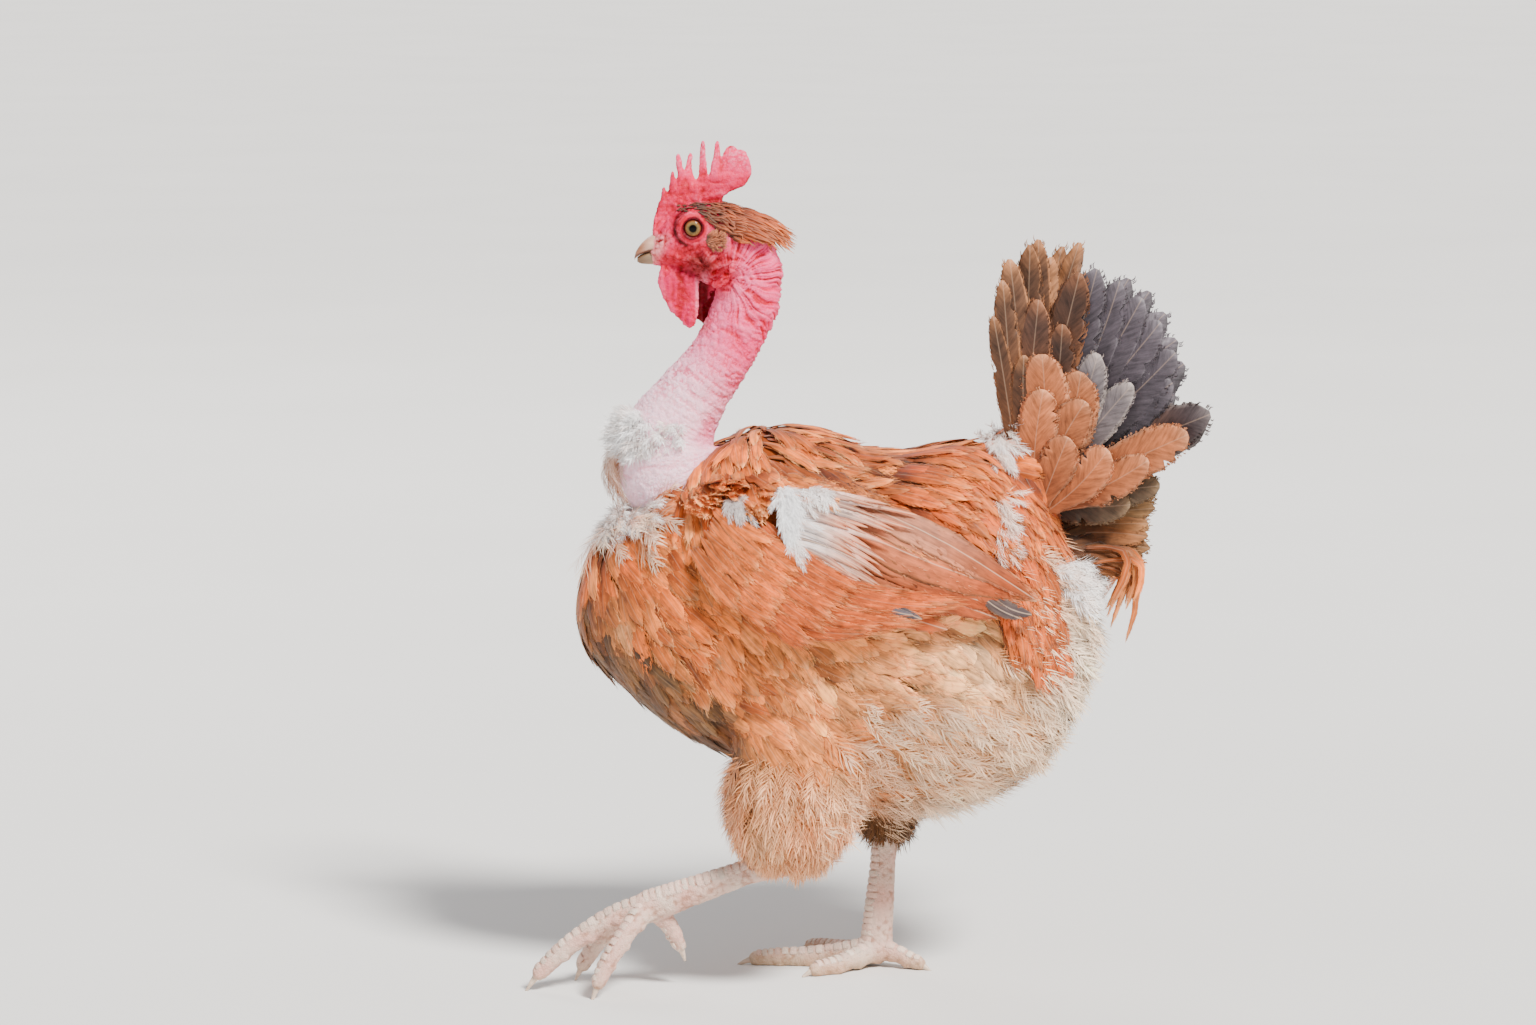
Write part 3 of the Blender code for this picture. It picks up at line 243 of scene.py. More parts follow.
# The same over the whole hen: the crest behind the comb, the tuft on the neck and the wisps below it.
CREST_COUNT, TUFT_COUNT, WISP_COUNT = 150, 520, 40
# How far apart the coat's feathers are rooted: contour feathers, belly down, breast down, crown.
CONTOUR_GAP, DOWN_GAP, BREAST_GAP, CROWN_GAP = 5.2, 5.8, 2.8, 1.4
CONTOUR_LENGTH, DOWN_LENGTH = 37, 23
# The least and the greatest length of the other feathers.
LENGTHS = {
    "breast down": (9, 15), "saddle": (34, 50), "flank": (36, 52), "vent down": (12, 21),
    "rump down": (9, 16), "wing down": (6, 12), "ear": (2.6, 4.4), "tuft": (11, 17), "wisp": (14, 26),
}
CAPE_FROM, CAPE_REACH = -86, 94  # where the strips of the cape begin, and how far back they go
PIECE_TRIANGLES = 190000  # the most that one joined piece of the coat may have
HEAD_VOXEL, LEG_VOXEL, BODY_VOXEL = 0.55, 0.62, 3.0
HOLLOW_X, HOLLOW_DARK = 2.0, 0.9  # where painted shade darkens the hollow that parts cape and saddle, and how dark that painted shade is
THIGH_END = {"left": 64.0, "right": 66.0}  # how low the down of each thigh reaches
TUFT_CENTRE = (-114.0, 0.0, 276.0)
EAR_CENTRE = (-74.8, 372.9)
# How low the strips of the cape hang, and where the crown's feathers begin: x, and the height there.
CAPE_LOW = ([-86, -74, -68, -58, -48, -43, -14, 12], [238, 246, 250, 240, 240, 253, 252, 244])
CROWN_LOW = ([-96, -92, -88, -83, -77, -70, -60, -53], [385, 386.5, 388, 386, 380, 375.5, 374, 376])


# ---------------------------------------------------------------- numbers

def smoothstep(low, high, value):
    share = np.clip((np.asarray(value, float) - low) / (high - low), 0.0, 1.0)
    return share * share * (3 - 2 * share)


def mix(one, two, share):
    share = np.asarray(share, float)[..., None]
    return np.asarray(one) * (1 - share) + np.asarray(two) * share


def unit(vectors):
    return vectors / np.maximum(np.linalg.norm(vectors, axis=-1, keepdims=True), 1e-9)


def lattice(cells, seed):
    """A repeatable number from 0 to 1 for each whole-number cell."""
    n = cells.astype(np.int64)
    h = (n[..., 0] * 73856093) ^ (n[..., 1] * 19349663) ^ (n[..., 2] * 83492791) ^ (seed * 265443576)
    h = ((h ^ (h >> 13)) * 1274126177) & 0xFFFFFFFF
    h = ((h ^ (h >> 15)) * 668265263) & 0xFFFFFFFF
    return ((h ^ (h >> 16)) & 0xFFFFFF) / 0xFFFFFF


def noise(points, size, seed=0):
    """Smooth noise from -1 to 1, with features of about the given size."""
    p = np.asarray(points, float) / size
    base = np.floor(p)
    f = p - base
    f = f * f * (3 - 2 * f)
    total = np.zeros(p.shape[:-1])
    for corner in range(8):
        step = np.array([corner & 1, corner >> 1 & 1, corner >> 2 & 1])
        weight = np.prod(np.where(step, f, 1 - f), axis=-1)
        total += weight * lattice(base + step, seed)
    return total * 2 - 1


def folds(points, size, seed=0):
    """Ridges from 0 to 1, sharp at their crests."""
    return 1 - np.abs(noise(points, size, seed)) ** 0.8


def cell_gaps(points, size, seed):
    """How far each point is from the middles of the cells about it, squared, one cell at a time.

    A cell's middle lies anywhere in it.
    """
    p = np.asarray(points, float) / size
    base = np.floor(p)
    for i in range(27):
        cell = base + np.array([i % 3, i // 3 % 3, i // 9]) - 1
        middle = cell + np.stack([lattice(cell, seed + k) for k in range(3)], axis=-1)
        yield ((p - middle) ** 2).sum(axis=-1)


def grains(points, size, seed=0):
    """Round bumps from 0 to 1, about one to each cell of the given size."""
    nearest = np.minimum.reduce(list(cell_gaps(points, size, seed)))
    return np.clip(1 - nearest * 1.6, 0, 1)


def creases(points, size, seed=0):
    """1 along the edges of a net of cells of about the given size, 0 inside them."""
    near = np.full((2, len(points)), 9.0)
    for gap in cell_gaps(points, size, seed):
        far = np.sqrt(gap)
        near[1] = np.minimum(near[1], np.maximum(near[0], far))
        near[0] = np.minimum(near[0], far)
    return smoothstep(0.22, 0.02, near[1] - near[0])


def smooth_rows(rows, count):
    """count rows along a Catmull-Rom curve through the given rows."""
    rows = np.array(rows, float)
    ends = np.vstack([2 * rows[0] - rows[1], rows, 2 * rows[-1] - rows[-2]])
    made = []
    for u in np.linspace(0, len(rows) - 1, count):
        i = min(int(u), len(rows) - 2)
        t = u - i
        a, b, c, d = ends[i : i + 4]
        made.append(0.5 * (2 * b + (c - a) * t + (2 * a - 5 * b + 4 * c - d) * t**2
                           + (3 * b - a - 3 * c + d) * t**3))
    return np.array(made)


# ---------------------------------------------------------------- meshes

def put(name, points, faces, tint=None, uvs=None, materials=()):
    """A mesh object from points in mm and arrays of faces, with a colour for each point."""
    mesh = bpy.data.meshes.new(name)
    mesh.vertices.add(len(points))
    mesh.vertices.foreach_set("co", (np.asarray(points) * MM).astype(np.float32).ravel())
    loops = np.concatenate([f.ravel() for f in faces]).astype(np.int32)
    sizes = np.concatenate([np.full(len(f), f.shape[1]) for f in faces])
    mesh.loops.add(len(loops))
    mesh.loops.foreach_set("vertex_index", loops)
    mesh.polygons.add(len(sizes))
    mesh.polygons.foreach_set("loop_start", np.concatenate([[0], np.cumsum(sizes)[:-1]]).astype(np.int32))
    mesh.update(calc_edges=True)
    for layer, uv in (uvs or {}).items():
        mesh.uv_layers.new(name=layer).data.foreach_set("uv", uv[loops].astype(np.float32).ravel())
    if tint is not None:
        paint(mesh, tint)
    mesh.shade_smooth()
    for material in materials:
        mesh.materials.append(material)
    made = bpy.data.objects.new(name, mesh)
    bpy.context.scene.collection.objects.link(made)
    return made


def vivid(tint):
    """Deepens a colour, as the studio's bright soft light washes it out."""
    return np.maximum(tint, 0) ** VIVID


def paint(mesh, tint):
    tint = vivid(np.asarray(tint, float))
    layer = mesh.color_attributes.get("tint") or mesh.color_attributes.new("tint", "FLOAT_COLOR", "POINT")
    rgba = np.ones((len(tint), 4), np.float32)
    rgba[:, :3] = np.clip(tint, 0, 1)
    layer.data.foreach_set("color", rgba.ravel())


def points_of(obj):
    co = np.zeros(len(obj.data.vertices) * 3, np.float32)
    obj.data.vertices.foreach_get("co", co)
    return co.reshape(-1, 3).astype(float) / MM


def normals_of(obj):
    normals = np.zeros(len(obj.data.vertices) * 3, np.float32)
    obj.data.vertex_normals.foreach_get("vector", normals)
    return normals.reshape(-1, 3).astype(float)


def move_points(obj, points):
    obj.data.vertices.foreach_set("co", (points * MM).astype(np.float32).ravel())
    obj.data.update()


def loft(rings):
    """Points and faces of a closed form through rings, with a fan over each end."""
    rings = np.asarray(rings, float)
    count, around = rings.shape[:2]
    points = np.vstack([rings.reshape(-1, 3), rings[0].mean(0), rings[-1].mean(0)])
    i = np.arange(around)
    j = (i + 1) % around
    rows = (np.arange(count - 1) * around)[:, None]
    quads = np.stack([rows + i, rows + j, rows + around + j, rows + around + i], axis=-1).reshape(-1, 4)
    first = np.stack([j, i, np.full(around, count * around)], axis=-1)
    last_row = (count - 1) * around
    last = np.stack([last_row + i, last_row + j, np.full(around, count * around + 1)], axis=-1)
    return points, [quads, np.vstack([first, last])]


def upright_ring(row, around, power=2.15):
    x, top, bottom, half, wide = row
    angle = np.linspace(0, 2 * np.pi, around, endpoint=False)
    s, c = np.sin(angle), np.cos(angle)
    across = half * np.sign(s) * np.abs(s) ** (2 / power)
    height = np.where(c > 0, top - wide, wide - bottom) * np.sign(c) * np.abs(c) ** (2 / power)
    return np.stack([np.full(around, x), across, wide + height], axis=-1)


def body_form(rows, count, around, power=2.15, inset=0.0):
    """A form through upright rows, drawn in by `inset` mm on every side."""
    rows = smooth_rows(rows, count)
    middle = rows[:, 0].mean()
    rows[:, 0] = middle + (rows[:, 0] - middle) * (1 - inset / np.abs(rows[:, 0] - middle).max())
    rows[:, 1] = np.maximum(rows[:, 1] - inset, rows[:, 4] + 0.5)
    rows[:, 2] = np.minimum(rows[:, 2] + inset, rows[:, 4] - 0.5)
    rows[:, 3] = np.maximum(rows[:, 3] - inset, 0.5)
    return loft([upright_ring(row, around, power) for row in rows])


def limb_rows(points, depths, widths, count):
    """Rows of centre, half depth and half width along a limb, and which way is beside and deep."""
    rows = smooth_rows([(*p, d, w) for p, d, w in zip(points, depths, widths)], count)
    along = unit(np.gradient(rows[:, :3], axis=0))
    beside = unit(np.array([0, 1, 0]) - along * along[:, 1:2])
    return rows, beside, np.cross(along, beside)


def limb_form(points, depths, widths, count, around):
    rows, beside, deep = limb_rows(points, depths, widths, count)
    angle = np.linspace(0, 2 * np.pi, around, endpoint=False)[None, :, None]
    return loft(rows[:, None, :3] + deep[:, None] * rows[:, None, 3:4] * np.cos(angle)
                + beside[:, None] * rows[:, None, 4:5] * np.sin(angle))


def ball_form(centre, radii, across=32, rows=20):
    fall = np.linspace(0.04, np.pi - 0.04, rows)
    angle = np.linspace(0, 2 * np.pi, across, endpoint=False)
    ring = np.stack([np.cos(angle), np.sin(angle), np.zeros(across)], axis=-1)
    rings = ring[None] * np.sin(fall)[:, None, None] + np.array([0, 0, 1]) * np.cos(fall)[:, None, None]
    return loft(np.array(centre) + rings * np.array(radii))


def ring_form(centre, radius, thick, around=48, section=14, squash=1.0):
    """A ring round the Y axis, such as a lid."""
    turn = np.linspace(0, 2 * np.pi, around, endpoint=False)
    spin = np.linspace(0, 2 * np.pi, section, endpoint=False)
    out = np.tile(radius + thick * np.cos(spin), (around, 1))
    points = np.stack([out * np.cos(turn)[:, None], np.broadcast_to(thick * np.sin(spin), out.shape),
                       out * np.sin(turn)[:, None] * squash], axis=-1) + np.array(centre)
    i, k = np.meshgrid(np.arange(around), np.arange(section), indexing="ij")
    i2, k2 = (i + 1) % around, (k + 1) % section
    quads = np.stack([i * section + k, i * section + k2, i2 * section + k2, i2 * section + k], axis=-1)
    return points.reshape(-1, 3), [quads.reshape(-1, 4)]


def joined(forms):
    """One set of points and faces out of several."""
    points, faces, start = [], [], 0
    for pts, groups in forms:
        points.append(pts)
        faces += [f + start for f in groups]
        start += len(pts)
    return np.vstack(points), faces


def remeshed(name, forms, voxel, passes, material):
    """One closed skin over several forms, by a voxel remesh."""
    made = put(name, *joined(forms))
    fuse = made.modifiers.new("fuse", "REMESH")
    fuse.mode = "VOXEL"
    fuse.voxel_size = voxel * MM
    relax = made.modifiers.new("relax", "SMOOTH")
    relax.iterations = passes
    relax.factor = 0.5
    bpy.context.view_layer.update()
    graph = bpy.context.evaluated_depsgraph_get()
    mesh = bpy.data.meshes.new_from_object(made.evaluated_get(graph))
    made.modifiers.clear()
    made.data = mesh
    mesh.shade_smooth()
    mesh.materials.append(material)
    return made


# ---------------------------------------------------------------- materials

def node_material(name):
    made = bpy.data.materials.new(name)
    made.use_nodes = True
    tree = made.node_tree
    return made, tree, tree.nodes["Principled BSDF"]


def feed(tree, node, **inputs):
    """Sets a node's inputs and properties by name; the output of another node is linked."""
    for key, value in inputs.items():
        target = node.inputs.get(key.replace("_", " "))
        if target is None:
            setattr(node, key, value)
        elif isinstance(value, bpy.types.NodeSocket):
            tree.links.new(value, target)
        else:
            target.default_value = value
    return node


def add(tree, kind, **inputs):
    return feed(tree, tree.nodes.new(kind), **inputs)


def calc(tree, operation, *values):
    """One step of arithmetic, on numbers or on other nodes' outputs."""
    made = add(tree, "ShaderNodeMath", operation=operation)
    for target, value in zip(made.inputs, values):
        if isinstance(value, bpy.types.NodeSocket):
            tree.links.new(value, target)
        else:
            target.default_value = value
    return made.outputs[0]


def ramp(tree, source, *stops):
    made = tree.nodes.new("ShaderNodeValToRGB")
    tree.links.new(source, made.inputs["Fac"])
    while len(made.color_ramp.elements) < len(stops):
        made.color_ramp.elements.new(0.5)
    for element, (place, colour) in zip(made.color_ramp.elements, stops):
        element.position = place
        element.color = (*colour, 1) if len(colour) == 3 else colour
    return made.outputs["Color"]


def tinted(tree, low, high, source):
    """The piece's own tint, made darker and lighter between two factors by a pattern."""
    tint = add(tree, "ShaderNodeAttribute", attribute_name="tint")
    return multiplied(tree, tint.outputs["Color"], between_greys(tree, source, low, high))


def between_greys(tree, source, low, high):
    return ramp(tree, source, (0.3, (low,) * 3), (0.7, (high,) * 3))


def multiplied(tree, one, two):
    blend = add(tree, "ShaderNodeMix", data_type="RGBA", blend_type="MULTIPLY", Factor=1.0, A=one, B=two)
    return blend.outputs["Result"]


def pattern(tree, scale, detail=3.0, stretch=(1, 1, 1)):
    """Noise over the object's own coordinates."""
    place = add(tree, "ShaderNodeTexCoord")
    fit = add(tree, "ShaderNodeMapping", Vector=place.outputs["Object"], Scale=stretch)
    made = add(tree, "ShaderNodeTexNoise", Vector=fit.outputs["Vector"], Scale=scale, Detail=detail)
    return made.outputs["Fac"]


def cell_pattern(tree, scale):
    place = add(tree, "ShaderNodeTexCoord")
    fit = add(tree, "ShaderNodeMapping", Vector=place.outputs["Object"], Scale=(1, 1, 1))
    return add(tree, "ShaderNodeTexVoronoi", Vector=fit.outputs["Vector"], Scale=scale).outputs["Distance"]


def bumped(tree, shader, height, distance, strength=1.0):
    made = add(tree, "ShaderNodeBump", Height=height, Distance=distance, Strength=strength)
    feed(tree, shader, Normal=made.outputs["Normal"])


def skin_material(name, grain, depth, low, high, subsurface, radius):
    made, tree, shader = node_material(name)
    fine = pattern(tree, grain, 4.0)
    bumped(tree, shader, cell_pattern(tree, grain * 1.7), depth)
    feed(tree, shader, Base_Color=tinted(tree, 0.93, 1.06, fine),
         Roughness=between_greys(tree, fine, low, high), Subsurface_Weight=subsurface,
         Subsurface_Radius=radius, Subsurface_Scale=1.0, Specular_IOR_Level=0.16)
    return made


def feather_material(name, grain, shaft, sheen, roughness, low, high):
    """Barbs that run forward from a pale shaft, by the Vane map, over the piece's tint."""
    made, tree, shader = node_material(name)
    place = add(tree, "ShaderNodeUVMap", uv_map="Vane")
    split = add(tree, "ShaderNodeSeparateXYZ", Vector=place.outputs["UV"])
    across, along = split.outputs["X"], split.outputs["Y"]
    out = calc(tree, "ABSOLUTE", across)
    slant = calc(tree, "MULTIPLY_ADD", out, -0.5, along)
    lie = add(tree, "ShaderNodeCombineXYZ", X=slant, Y=across)
    fit = add(tree, "ShaderNodeMapping", Vector=lie.outputs["Vector"], Scale=(*grain, 1))
    barbs = add(tree, "ShaderNodeTexNoise", Vector=fit.outputs["Vector"], Scale=1.0, Detail=5.0,
                Roughness=0.65)
    drift = pattern(tree, 160.0)
    both = calc(tree, "MULTIPLY_ADD", barbs.outputs["Fac"], 0.7, calc(tree, "MULTIPLY", drift, 0.3))
    line = add(tree, "ShaderNodeMapRange", Value=out, From_Min=0.015, From_Max=0.04, To_Min=shaft,
               To_Max=0.0)
    colour = add(tree, "ShaderNodeMix", data_type="RGBA", Factor=line.outputs["Result"],
                 A=tinted(tree, low, high, both), B=(0.8, 0.55, 0.38, 1))
    bumped(tree, shader, both, 0.0003, 0.7)
    feed(tree, shader, Base_Color=colour.outputs["Result"],
         Roughness=between_greys(tree, drift, roughness - 0.08, roughness + 0.08),
         Sheen_Weight=sheen, Sheen_Roughness=0.5, Specular_IOR_Level=0.2)
    return made


def horn_material(name, low, high):
    made, tree, shader = node_material(name)
    layers = pattern(tree, 220.0, 3.0, (0.35, 1, 1.6))
    bumped(tree, shader, layers, 0.0003)
    feed(tree, shader, Base_Color=tinted(tree, low, high, layers),
         Roughness=between_greys(tree, layers, 0.34, 0.5), Subsurface_Weight=0.15,
         Subsurface_Radius=(0.002, 0.001, 0.0007))
    return made


def floor_material():
    made, tree, shader = node_material("studio_floor")
    stone = ramp(tree, pattern(tree, 3.0, 2.0), (0.2, (0.74, 0.73, 0.71)), (0.8, (0.78, 0.77, 0.75)))
    feed(tree, shader, Base_Color=stone, Roughness=0.9, Specular_IOR_Level=0.1)
    return made


# ---------------------------------------------------------------- colours by place

def along_neck(points):
    """How far along the neck's middle line each point lies, and how far off it, in mm."""
    line = smooth_rows([(x, z) for x, z, _, _ in NECK_ROWS], 160)
    reach = np.concatenate([[0], np.cumsum(np.linalg.norm(np.diff(line, axis=0), axis=1))])
    best = np.full(len(points), 1e9)
    place = np.zeros(len(points))
    for at, far in zip(line, reach):
        gap = (points[:, 0] - at[0]) ** 2 + (points[:, 2] - at[1]) ** 2
        nearer = gap < best
        best[nearer] = gap[nearer]
        place[nearer] = far
    ahead = np.interp(place, reach, line[:, 0]) - points[:, 0]
    return place, ahead


def flesh_colour(points, relief):
    """Comb, face, wattles and the bare neck, with painted shade that makes the folds a deeper red, and
    painted highlight on the ridges.
    """
    x, y, z = points.T
    place, ahead = along_neck(points)
    tint = np.tile(NECK_PINK, (len(points), 1)).astype(float)
    ahead = ahead + noise(points, 6.0, 5) * 3
    tint = mix(tint, PALE_PINK, 0.12 + 0.5 * smoothstep(-8, 14, ahead) - 0.12 * smoothstep(-4, -12, ahead))
    tint = mix(tint, SHELL_PINK, smoothstep(118, 74, place) * smoothstep(-34, 0, ahead) * 0.9)
    tint = mix(tint, SHELL_PINK, smoothstep(70, 48, place) * 0.7)
    face = smoothstep(-54, -70, x + noise(points, 8.0, 6) * 4) * smoothstep(341, 351, z)
    face *= smoothstep(-60, -70, x - 0.35 * (z - 352))
    tint = mix(tint, FACE_RED, face)
    front = smoothstep(-90, -99, x) * smoothstep(364, 372, z)
    tint = mix(tint, COMB_PINK, 0.8 * front)
    base = smoothstep(-98, -105, x - 0.5 * (z - 366)) * smoothstep(378, 372, z) * smoothstep(356, 360, z)
    tint = mix(tint, (0.95, 0.58, 0.54), 0.75 * base)
    comb = mix((0.74, 0.02, 0.15), COMB_PINK, smoothstep(394, 410, z))
    tint = tint + (comb - tint) * smoothstep(384, 390, z - 0.12 * x - 10)[:, None]
    tips = smoothstep(0.3, 0.9, grains(points, 1.3, 27)) * smoothstep(404, 418, z + 0.2 * np.abs(x + 76))
    tint = mix(tint, (0.97, 0.62, 0.68), 0.55 * tips)
    hang = hanging(points)
    near, far_side = hang * (y < 0), hang * (y > 0)
    tint = mix(tint, (0.76, 0.008, 0.19), near)
    # Painted shade: the far wattle is a darker copy of the near one's red.
    tint = mix(tint, (0.34, 0.005, 0.045), far_side)
    # Painted highlight: the near wattle's front edge and its rear rim are lightened.
    tint = mix(tint, (0.90, 0.22, 0.36), near * 0.7 * smoothstep(2.6, 1.0, x - wattle_front(z)))
    tint = mix(tint, (0.96, 0.40, 0.50), near * 0.8 * smoothstep(-85.6, -84.2, x))
    far = np.hypot(x - EYE_CENTRE[0], z - EYE_CENTRE[2])
    socket = smoothstep(6.1, 5.4, far + noise(points, 3.0, 35) * 0.4)
    tint = mix(tint, DARK_RED, socket * (z < 392))
    # Painted shadow: a dark crescent round the front of the eye, under the brow.
    brow = np.exp(-((far - 9.0) / 1.3) ** 2) * smoothstep(-1, -4, x - EYE_CENTRE[0])
    tint = mix(tint, (0.22, 0.04, 0.04), 0.85 * brow * (z < 392))
    lids = np.exp(-((far - 7.6) / 0.8) ** 2) * (0.55 + 0.5 * noise(points, 3.0, 36))
    tint = mix(tint, (0.92, 0.24, 0.36), 0.7 * lids * (z < 391))
    # Painted shade: a dark patch on the cheek below the ear.
    shade = np.exp(-(((x + 82) / 9.5) ** 2 + ((z - 361) / 6.5) ** 2)) * (z < 371)
    tint = mix(tint, (0.34, 0.06, 0.055), np.minimum(0.85, (1.1 + 0.3 * noise(points, 3.0, 38)) * shade))
    ear_rim = np.exp(-((np.hypot((x + 74.8) / 1.1, z - 373.1) - 5.4) / 1.1) ** 2) * (z < 384)
    tint = mix(tint, (0.94, 0.36, 0.46), 0.5 * ear_rim * smoothstep(-80, -74, x))
    blotch = noise(points, 7.0, 3) * 0.5 + noise(points, 2.6, 4) * 0.5
    tint = tint * (1 + 0.10 * blotch)[:, None]
    # Painted shade: the folds of the skin are darkened towards a deep red.
    red = mix((0.78, 0.22, 0.34), (0.62, 0.08, 0.14), smoothstep(335, 352, z))
    deep = np.clip(-relief * 1.7, 0, 0.85) * (0.35 + 0.65 * smoothstep(285, 310, z))
    tint = tint * (1 - (1 - red) * deep[:, None])
    # Painted highlight: the raised ridges are lightened, less so on the wattles.
    return mix(tint, (0.97, 0.52, 0.62), np.clip(relief * 0.5, 0, 0.3) * (1 - 0.7 * hang))


def hanging(points):
    """1 over the wattles, 0 over the head and neck."""
    x, y, z = points.T
    shown = smoothstep(362, 354, z) * smoothstep(-77, -80, x) * smoothstep(325, 328, z - 0.3 * (x + 80))
    behind = smoothstep(358, 352, z) * smoothstep(-71, -74, x) * smoothstep(325, 327, z)
    return np.maximum(shown, behind * (y > 6.2) * (z < 350))


def wattle_front(z):
    """Where the front edge of the near wattle lies at a height."""
    return np.interp(z, [328, 330, 333.5, 337.5, 342.5, 347.5, 352.5, 361, 365],
                     [-88, -90.5, -94, -97, -99.5, -101.2, -102.5, -104, -104])


def plumage_colour(points):
    """The coat's markings by place, which skin and feathers share, with painted shade low on the breast's
    front and in the hollow between cape and saddle.
    """
    x, y, z = points.T
    tint = np.tile(ORANGE, (len(points), 1)).astype(float)
    drift = noise(points, 42.0, 11) * 9 + noise(points, 13.0, 12) * 6
    tint = mix(tint, APRICOT, smoothstep(220, 186, z + drift) * smoothstep(-85, -35, x) * 0.9)
    tint = mix(tint, CREAM, smoothstep(-40, 40, x + drift) * smoothstep(210, 178, z) * 0.9)
    tint = mix(tint, PALE, smoothstep(72, 98, x + drift * 0.5) * smoothstep(222, 190, z))
    tint = mix(tint, PALE, smoothstep(112, 92, z + drift * 0.4) * smoothstep(0, 30, x) * 0.8)
    tint = mix(tint, APRICOT, 0.7 * smoothstep(0.1, 0.5, noise(points, 17.0, 13)) * smoothstep(-60, -90, x))
    # Painted shade: the low front of the breast is darkened to a dull olive brown.
    low = smoothstep(186, 160, z + x + 100 + drift * 0.5) * smoothstep(-40, -65, x)
    low = np.clip(low * (0.95 + 0.6 * noise(points, 12.0, 14)), 0, 1)
    tint = mix(tint, (0.31, 0.19, 0.095), low)
    # Painted shade: the hollow where cape and saddle part, behind the shoulder, is darkened.
    hollow = np.exp(-(((x + 2) / 11) ** 2 + ((z - 260) / 8) ** 2)) * smoothstep(10, 24, np.abs(y))
    tint = mix(tint, (0.14, 0.05, 0.02), np.minimum(1, 1.3 * hollow))
    stem = smoothstep(88, 98, x) * smoothstep(20, 12, np.abs(y)) * smoothstep(226, 236, z)
    tint = mix(tint, (0.17, 0.13, 0.11), stem)
    return mix(tint, WHITE, white_breast(points))


# ---------------------------------------------------------------- skin

def comb_form():
    """A blade with fleshy points: a filled outline with rounded edges, thick at its foot."""
    outline = bpy.data.curves.new("comb_outline", "CURVE")
    outline.dimensions = "2D"
    outline.fill_mode = "BOTH"
    outline.extrude = 0.35
    outline.bevel_depth = 0.75
    outline.bevel_resolution = 3
    outline.offset = -0.4
    rows = smooth_rows([*COMB_OUTLINE, COMB_OUTLINE[0]], len(COMB_OUTLINE) * 4 + 1)[:-1]
    line = outline.splines.new("POLY")
    line.points.add(len(rows) - 1)
    for point, (x, z) in zip(line.points, rows):
        point.co = (x, z, 0, 1)
    line.use_cyclic_u = True
    guide = bpy.data.objects.new("comb_outline", outline)
    bpy.context.scene.collection.objects.link(guide)
    bpy.context.view_layer.update()
    flat = bpy.data.meshes.new_from_object(guide.evaluated_get(bpy.context.evaluated_depsgraph_get()))
    bm = bmesh.new()
    bm.from_mesh(flat)
    bmesh.ops.triangulate(bm, faces=bm.faces)
    bm.verts.index_update()
    flat_points = np.array([v.co for v in bm.verts])
    faces = np.array([[v.index for v in f.verts] for f in bm.faces])
    bm.free()
    bpy.data.objects.remove(guide, do_unlink=True)
    bpy.data.meshes.remove(flat)
    x, z, side = flat_points.T
    share = smoothstep(385, 414, z)
    half = 2.9 + (1.25 - 2.9) * share
    y = side / 1.1 * half + 1.3 * share * np.sin(x * 0.35)
    return np.stack([x, y, z], axis=-1), [faces]


def wattle_form(side):
    """A hanging lobe with a bulging front edge, a straight rear one and a rounded foot."""
    sign = SIDES[side]
    top, bottom, front, back = WATTLE[side]
    points, faces = ball_form((0, 0, 0), (1, 1, 1), 40, 44)
    x, y, z = points.T
    drop = (1 - z) / 2
    ring = np.sqrt(np.maximum(1 - z * z, 1e-4))
    fore = np.interp(drop, [0, 0.06, 0.3, 0.6, 0.75, 0.87, 0.97, 1.0],
                     [0.5, 0.12, 0.02, 0.2, 0.34, 0.5, 0.7, 0.8])
    aft = np.interp(drop, [0, 0.06, 0.3, 0.8, 0.93, 0.98, 1.0], [0.6, 0.9, 1.0, 0.98, 0.94, 0.9, 0.8])
    reach = x / ring
    lip = 1 + 0.35 * smoothstep(0.6, 1.0, np.abs(reach))
    thick = np.minimum(1.0, ring * 1.25) * (2.0 - 0.5 * drop) * lip
    wave = 0.7 * np.sin(drop * 7 + x * 2.2) * drop
    out = 6.5 + 3.0 * drop + y / ring * thick + wave
    place = (fore + aft) / 2 + (aft - fore) / 2 * reach
    made = [front + (back - front) * place, sign * out, top + (bottom - top) * drop]
    return np.stack(made, axis=-1), faces


def face_folds():
    """Folds of loose skin at the jaw, the cheek and round the eyes, and the ear's rim."""
    forms = []
    x, _, z = EYE_CENTRE
    for sign in SIDES.values():
        forms.append(ring_form((x, sign * 14.0, z), 5.8, 1.3, squash=0.94))
        forms.append(ring_form((x + 0.3, sign * 13.0, z - 0.2), 7.9, 1.2, squash=0.95))
        for line, radii, count, around in FACE_FOLDS:
            places = [(px, sign * py, pz) for px, py, pz in line]
            forms.append(limb_form(places, radii, radii, count, around))
    return forms


